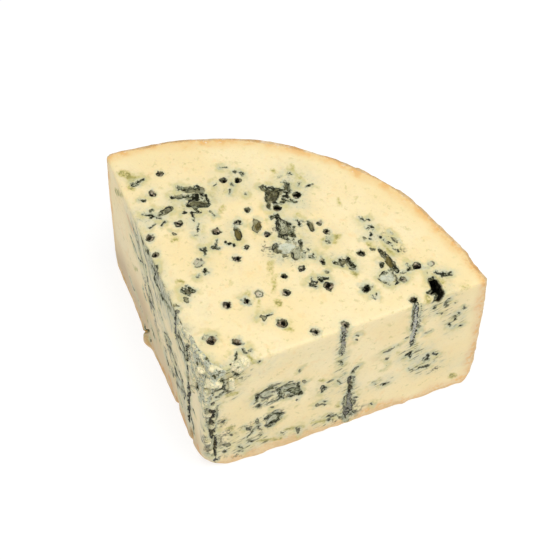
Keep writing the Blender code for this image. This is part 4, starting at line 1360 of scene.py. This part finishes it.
def dark_marks(g, n, colour, in_dark, dark_gap):
    """Black-green, greyer in patches, blackest along their outlines."""
    greyer = g.times(g.ramp(n["blot"], 0.4, 0.5), g.ramp(dark_gap, -0.1, -0.7, 0.3, 1.0))
    body = g.mix(greyer, MOULD_DEEP, MOULD_GREY)
    paler = g.times(g.ramp(n["blot"], 0.52, 0.58, 0.0, 0.9), g.ramp(dark_gap, -0.3, -0.8))
    body = g.mix(paler, body, MOULD_PALE)
    body = g.mix(g.ramp(n["vein"], 0.05, 0.02, 0.0, 0.85), body, MOULD_BLACK)
    body = g.mix(g.ramp(n["blot"], 0.4, 0.34, 0.0, 0.9), body, MOULD_BLACK)
    colour = g.mix(in_dark, colour, body)
    edge = g.ramp(g.fold(dark_gap, -0.12), 0.28, 0.08)
    return g.mix(g.times(edge, g.ramp(n["clumps"], 0.44, 0.54, 0.05, 0.75)), colour, MOULD_BLACK)


def needle_holes(g, n, colour, haze_colour):
    """A broken ring of mould round a grey middle, with a black core of painted shade where the hole is open.
    """
    hole = g.frayed("hole", n["ragged"], 0.75)
    colour = g.mix(g.ramp(hole, 2.0, 0.2, 0.0, 0.65), colour, haze_colour)
    filled = g.attribute("filled")
    middle = g.mix(g.ramp(filled, 0.2, 1.0), HOLE_BROWN, BED_PALE)
    middle = g.mix(g.ramp(n["patchy"], 0.46, 0.62, 0.0, 0.8), middle, HOLE_PINK)
    spots = g.times(g.ramp(n["blot"], 0.5, 0.43, 0.0, 0.85), g.ramp(filled, 1.0, 0.5))
    middle = g.mix(spots, middle, MOULD_BLACK)
    colour = g.mix(g.ramp(hole, 0.1, -0.3), colour, middle)
    ring_colour = g.mix(g.ramp(n["blot"], 0.44, 0.54), MOULD_BLACK, MOULD_GREEN)
    ring = g.times(outline(g, n, hole, -0.2, 0.62, 0.3, 0.15), g.ramp(filled, 0.7, 1.0, 1.0, 0.75))
    colour = g.mix(ring, colour, ring_colour)
    # painted shade: the open core is painted near black for the dark down in it
    core = g.frayed("core", n["ragged"], 0.35)
    return g.mix(g.ramp(core, 0.15, -0.15), colour, PAINTED_PIT_SHADE)


def channels(g, n, colour, haze_colour):
    """Dark broken sides, and a lining that is lilac-grey in some and brown-black in others."""
    channel = g.frayed("channel", n["ragged"], 0.9)
    pale = g.attribute("lining")
    halo = g.times(g.ramp(channel, 2.2, 0.3, 0.0, 0.6), g.ramp(pale, 0.0, 1.0, 1.0, 0.35))
    colour = g.mix(halo, colour, haze_colour)
    dull = g.mix(g.ramp(n["specks"], 0.5, 0.75), CHANNEL_BROWN, OLIVE)
    bright = g.mix(g.ramp(n["patchy"], 0.4, 0.62), CHANNEL_LILAC, BED_PALE)
    inside = g.mix(pale, dull, bright)
    inside = g.mix(g.ramp(n["thread"], 0.055, 0.02, 0.0, 0.9), inside, MOULD_BLACK)
    colour = g.mix(g.ramp(channel, 0.15, -0.3), colour, inside)
    return g.mix(outline(g, n, channel, -0.1, 0.45, 0.15, 0.1), colour, MOULD_BLACK)


def crumbled_point(g, n, colour, crumbled):
    """Cream crumbs, with blue-grey and black-green mould in the creases, and painted shade that darkens the
    deepest creases to black.
    """
    broad = g.swing(g.noise(5.0, 2, 0.5, 0.21), 4.5)
    crease = g.sum(g.frayed("crag", n["ragged"], 0.7), broad, 0.9)
    crumb = g.mix(g.ramp(crease, -0.8, 0.2), CRUMB_PALE, HAZE_GREEN)
    crumb = g.mix(g.ramp(crease, 0.0, 0.8), crumb, CRUMB_BLUE)
    crumb = g.mix(g.ramp(g.noise(3.0, 2, 0.5, 0.73), 0.5, 0.62, 0.0, 0.8), crumb, CRUMB_PALE)
    # partly mould and partly painted shade: the deeper the crease, the darker, to black-green and then black
    crumb = g.mix(g.ramp(crease, 1.6, 2.2), crumb, MOULD_GREEN)
    crumb = g.mix(g.ramp(crease, 2.2, 2.8), crumb, MOULD_BLACK)
    fine = g.fold(g.noise(1.5, 1, 0.5, 0.27, g.jiggle(1.2, 0.6)))
    lines = g.times(g.ramp(fine, 0.045, 0.015), g.ramp(crease, -0.2, 0.8))
    crumb = g.mix(g.times(lines, 0.85), crumb, MOULD_DEEP)
    colour = g.mix(crumbled, colour, crumb)
    bead = g.ramp(g.frayed("bead", n["ragged"], 0.6), 0.5, -0.1, 0.0, 0.9)
    bead_colour = g.mix(g.ramp(n["mottle"], 0.45, 0.65), CRUMB_PALE, HAZE_GREEN)
    bead_colour = g.mix(g.ramp(n["thread"], 0.04, 0.01, 0.0, 0.7), bead_colour, MOULD_GREY)
    return g.mix(bead, colour, bead_colour)


PASTE_ROUGHNESS = 0.5
MOULD_ROUGHNESS = 0.85
PASTE_GLOSS = 0.3
MOULD_GLOSS = 0.12
GLOW_THROUGH = 0.1      # how much light passes into the paste
GLOW_REACH = (1.0, 0.6, 0.3)    # how far red, green and blue go in
GLOW_DEPTH = 1.2        # how many millimetres 1 of that is
RELIEF = 0.5            # how strong the fine relief is
RELIEF_HEIGHT = 0.6


def cheese_material():
    g = Graph("blue_cheese")
    n = shared_noises(g)
    haze_colour = g.mix(g.ramp(n["mottle"], 0.42, 0.6), HAZE_GREEN, HAZE_BLUE)
    dark, grey, olive = (g.attribute(name) for name in ("dark", "grey", "olive"))
    nearest = g.math("MINIMUM", g.math("MINIMUM", dark, grey), olive)
    dark_gap = g.sum(dark, 0.22, g.times(n["ragged"], 0.65))
    in_dark = g.ramp(dark_gap, 0.15, -0.25)
    on_rind = g.ramp(g.sum(g.attribute("rind"), g.swing(n["grain"], 1.8)), 0.8, -0.3)
    crumbled = g.ramp(g.frayed("crumbled", n["ragged"], 0.07), 0.03, 0.14)

    colour = rind(g, n, paste(g, n), on_rind)
    colour = veins(g, n, haze(g, n, colour, haze_colour, nearest, on_rind))
    colour = dark_marks(g, n, hollows(g, n, colour, olive), in_dark, dark_gap)
    colour = needle_holes(g, n, colour, haze_colour)
    colour = channels(g, n, colour, haze_colour)
    colour = crumbled_point(g, n, colour, crumbled)

    # painted shade: 3 to 7 mm below the clean faces the colour goes near black, except on the crumbled point
    deep = g.times(g.ramp(g.attribute("depth"), 3.2, 7.0, 0.0, 0.95), g.ramp(crumbled, 0.6, 0.1))
    colour = g.mix(deep, colour, PAINTED_PIT_SHADE)
    # dark olive mould round the open cavity, and painted shade inside it: near black
    cavity = g.frayed("cavity", n["ragged"], 0.3)
    colour = g.mix(g.ramp(cavity, 1.2, 0.3, 0.0, 0.7), colour, OLIVE_DARK)
    colour = g.mix(g.ramp(cavity, 0.3, -0.1), colour, PAINTED_PIT_SHADE)

    mouldy = g.math("MAXIMUM", in_dark, g.math("MAXIMUM", on_rind, crumbled))
    mouldy = g.math("MAXIMUM", mouldy, g.ramp(grey, 0.6, -0.6))
    uneven = g.sum(mouldy, g.swing(n["mottle"], 0.5))
    for name, value in (
        ("Base Color", colour),
        ("Roughness", g.ramp(uneven, 0.0, 1.0, PASTE_ROUGHNESS, MOULD_ROUGHNESS)),
        ("Specular IOR Level", g.ramp(mouldy, 0.0, 1.0, PASTE_GLOSS, MOULD_GLOSS)),
        ("Subsurface Weight", GLOW_THROUGH),
        ("Subsurface Radius", GLOW_REACH),
        ("Subsurface Scale", GLOW_DEPTH * MM),
    ):
        g.plug(g.shader.inputs[name], value)
    add_relief(g, n, mouldy, on_rind)
    return g.material


def add_relief(g, n, mouldy, on_rind):
    """Fine relief: tight paste, crumbly mould, grainy rind."""
    height = g.times(g.noise(0.8, 3, 0.6, 0.25), g.ramp(mouldy, 0.0, 1.0, 0.35, 1.0))
    height = g.sum(height, g.times(g.noise(3.0, 3, 0.5, 0.45), g.ramp(on_rind, 0.0, 1.0, 0.4, 1.0)))
    height = g.sum(height, g.times(n["specks"], g.ramp(mouldy, 0.2, 1.0, 0.0, 0.5)))
    bump = g.add("ShaderNodeBump")
    g.plug(bump.inputs["Strength"], RELIEF)
    g.plug(bump.inputs["Distance"], RELIEF_HEIGHT * MM)
    g.plug(bump.inputs["Height"], height)
    g.plug(g.shader.inputs["Normal"], bump.outputs["Normal"])


# ================================================================ studio
FLOOR_HALF = 3.0
LENS = 127.5
SENSOR = 36.0
CAMERA_ELEVATION = math.radians(53.76)
CAMERA_TURN = math.radians(19.64)
CAMERA_ROLL = math.radians(2.617)
CAMERA_DISTANCE = 1015.0
CAMERA_ASIDE = 7.05
CAMERA_ABOVE = 12.8
AIM = (0.0, 79.75, 43.66)
NEAREST_SEEN = 0.05     # in metres
FARTHEST_SEEN = 20.0
STUDIO_GREY = (0.3, 0.3, 0.3, 1.0)
FLOOR_GLOW = 0.76
WORLD_LIGHT = 0.42
KEY_FROM_MIDDLE = (0.30, -0.25, 1.45)   # in metres
KEY_SIZE = 0.9
KEY_WATTS = 15.7
WHITE = (1.0, 1.0, 1.0, 1.0)


def add_floor():
    signs = ((-1, -1), (1, -1), (1, 1), (-1, 1))
    corners = [(x * FLOOR_HALF, y * FLOOR_HALF, cheese_low.z) for x, y in signs]
    mesh = bpy.data.meshes.new("floor")
    mesh.from_pydata(corners, [], [(0, 1, 2, 3)])
    material = bpy.data.materials.new("pale_floor")
    material.use_nodes = True
    shader = material.node_tree.nodes["Principled BSDF"]
    for name, value in (
        ("Base Color", STUDIO_GREY),
        ("Roughness", 0.9),
        ("Specular IOR Level", 0.1),
        ("Emission Color", WHITE),
        ("Emission Strength", FLOOR_GLOW),
    ):
        shader.inputs[name].default_value = value
    mesh.materials.append(material)
    add_object("floor", mesh)


def light_scene():
    """A white world, and one soft lamp high above, a little in front and to the right."""
    world = bpy.data.worlds.new("studio")
    world.use_nodes = True
    background = world.node_tree.nodes["Background"]
    background.inputs["Color"].default_value = WHITE
    background.inputs["Strength"].default_value = WORLD_LIGHT
    bpy.context.scene.world = world
    light = bpy.data.lights.new("key", "AREA")
    light.shape = "SQUARE"
    light.size = KEY_SIZE
    light.energy = KEY_WATTS
    lamp = add_object("key", light)
    middle = (cheese_low + cheese_high) / 2
    lamp.location = middle + Vector(KEY_FROM_MIDDLE)
    lamp.rotation_euler = (middle - lamp.location).to_track_quat("-Z", "Y").to_euler()
    bpy.context.scene.view_settings.view_transform = "Standard"
    bpy.context.scene.view_settings.look = "None"


def add_camera():
    """Looks down on the point and the right cut, from in front and a little to the right."""
    sine, cosine = math.sin(CAMERA_ELEVATION), math.cos(CAMERA_ELEVATION)
    back, right, up = Vector((0, -cosine, sine)), Vector((1, 0, 0)), Vector((0, sine, cosine))
    rolled_right = right * math.cos(CAMERA_ROLL) + up * math.sin(CAMERA_ROLL)
    rolled_up = up * math.cos(CAMERA_ROLL) - right * math.sin(CAMERA_ROLL)
    axes = Matrix((rolled_right, rolled_up, back)).transposed()
    turn = Matrix.Rotation(CAMERA_TURN, 3, "Z")
    offset = turn @ (back * CAMERA_DISTANCE + right * CAMERA_ASIDE + up * CAMERA_ABOVE)
    place = to_frame(np.array(AIM) + np.array(offset))
    data = bpy.data.cameras.new("camera")
    data.lens = LENS
    data.sensor_width = SENSOR
    data.clip_start = NEAREST_SEEN
    data.clip_end = FARTHEST_SEEN
    camera = add_object("camera", data)
    camera.matrix_world = Matrix.Translation(Vector(place)) @ (turn @ axes).to_4x4()
    bpy.context.scene.camera = camera


# ================================================================ the scene
add_camera()
light_scene()
add_floor()
cheese = make_cheese()
cheese.data.materials.clear()
cheese.data.materials.append(cheese_material())
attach(cheese, "root")
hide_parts("cheese_wedge")
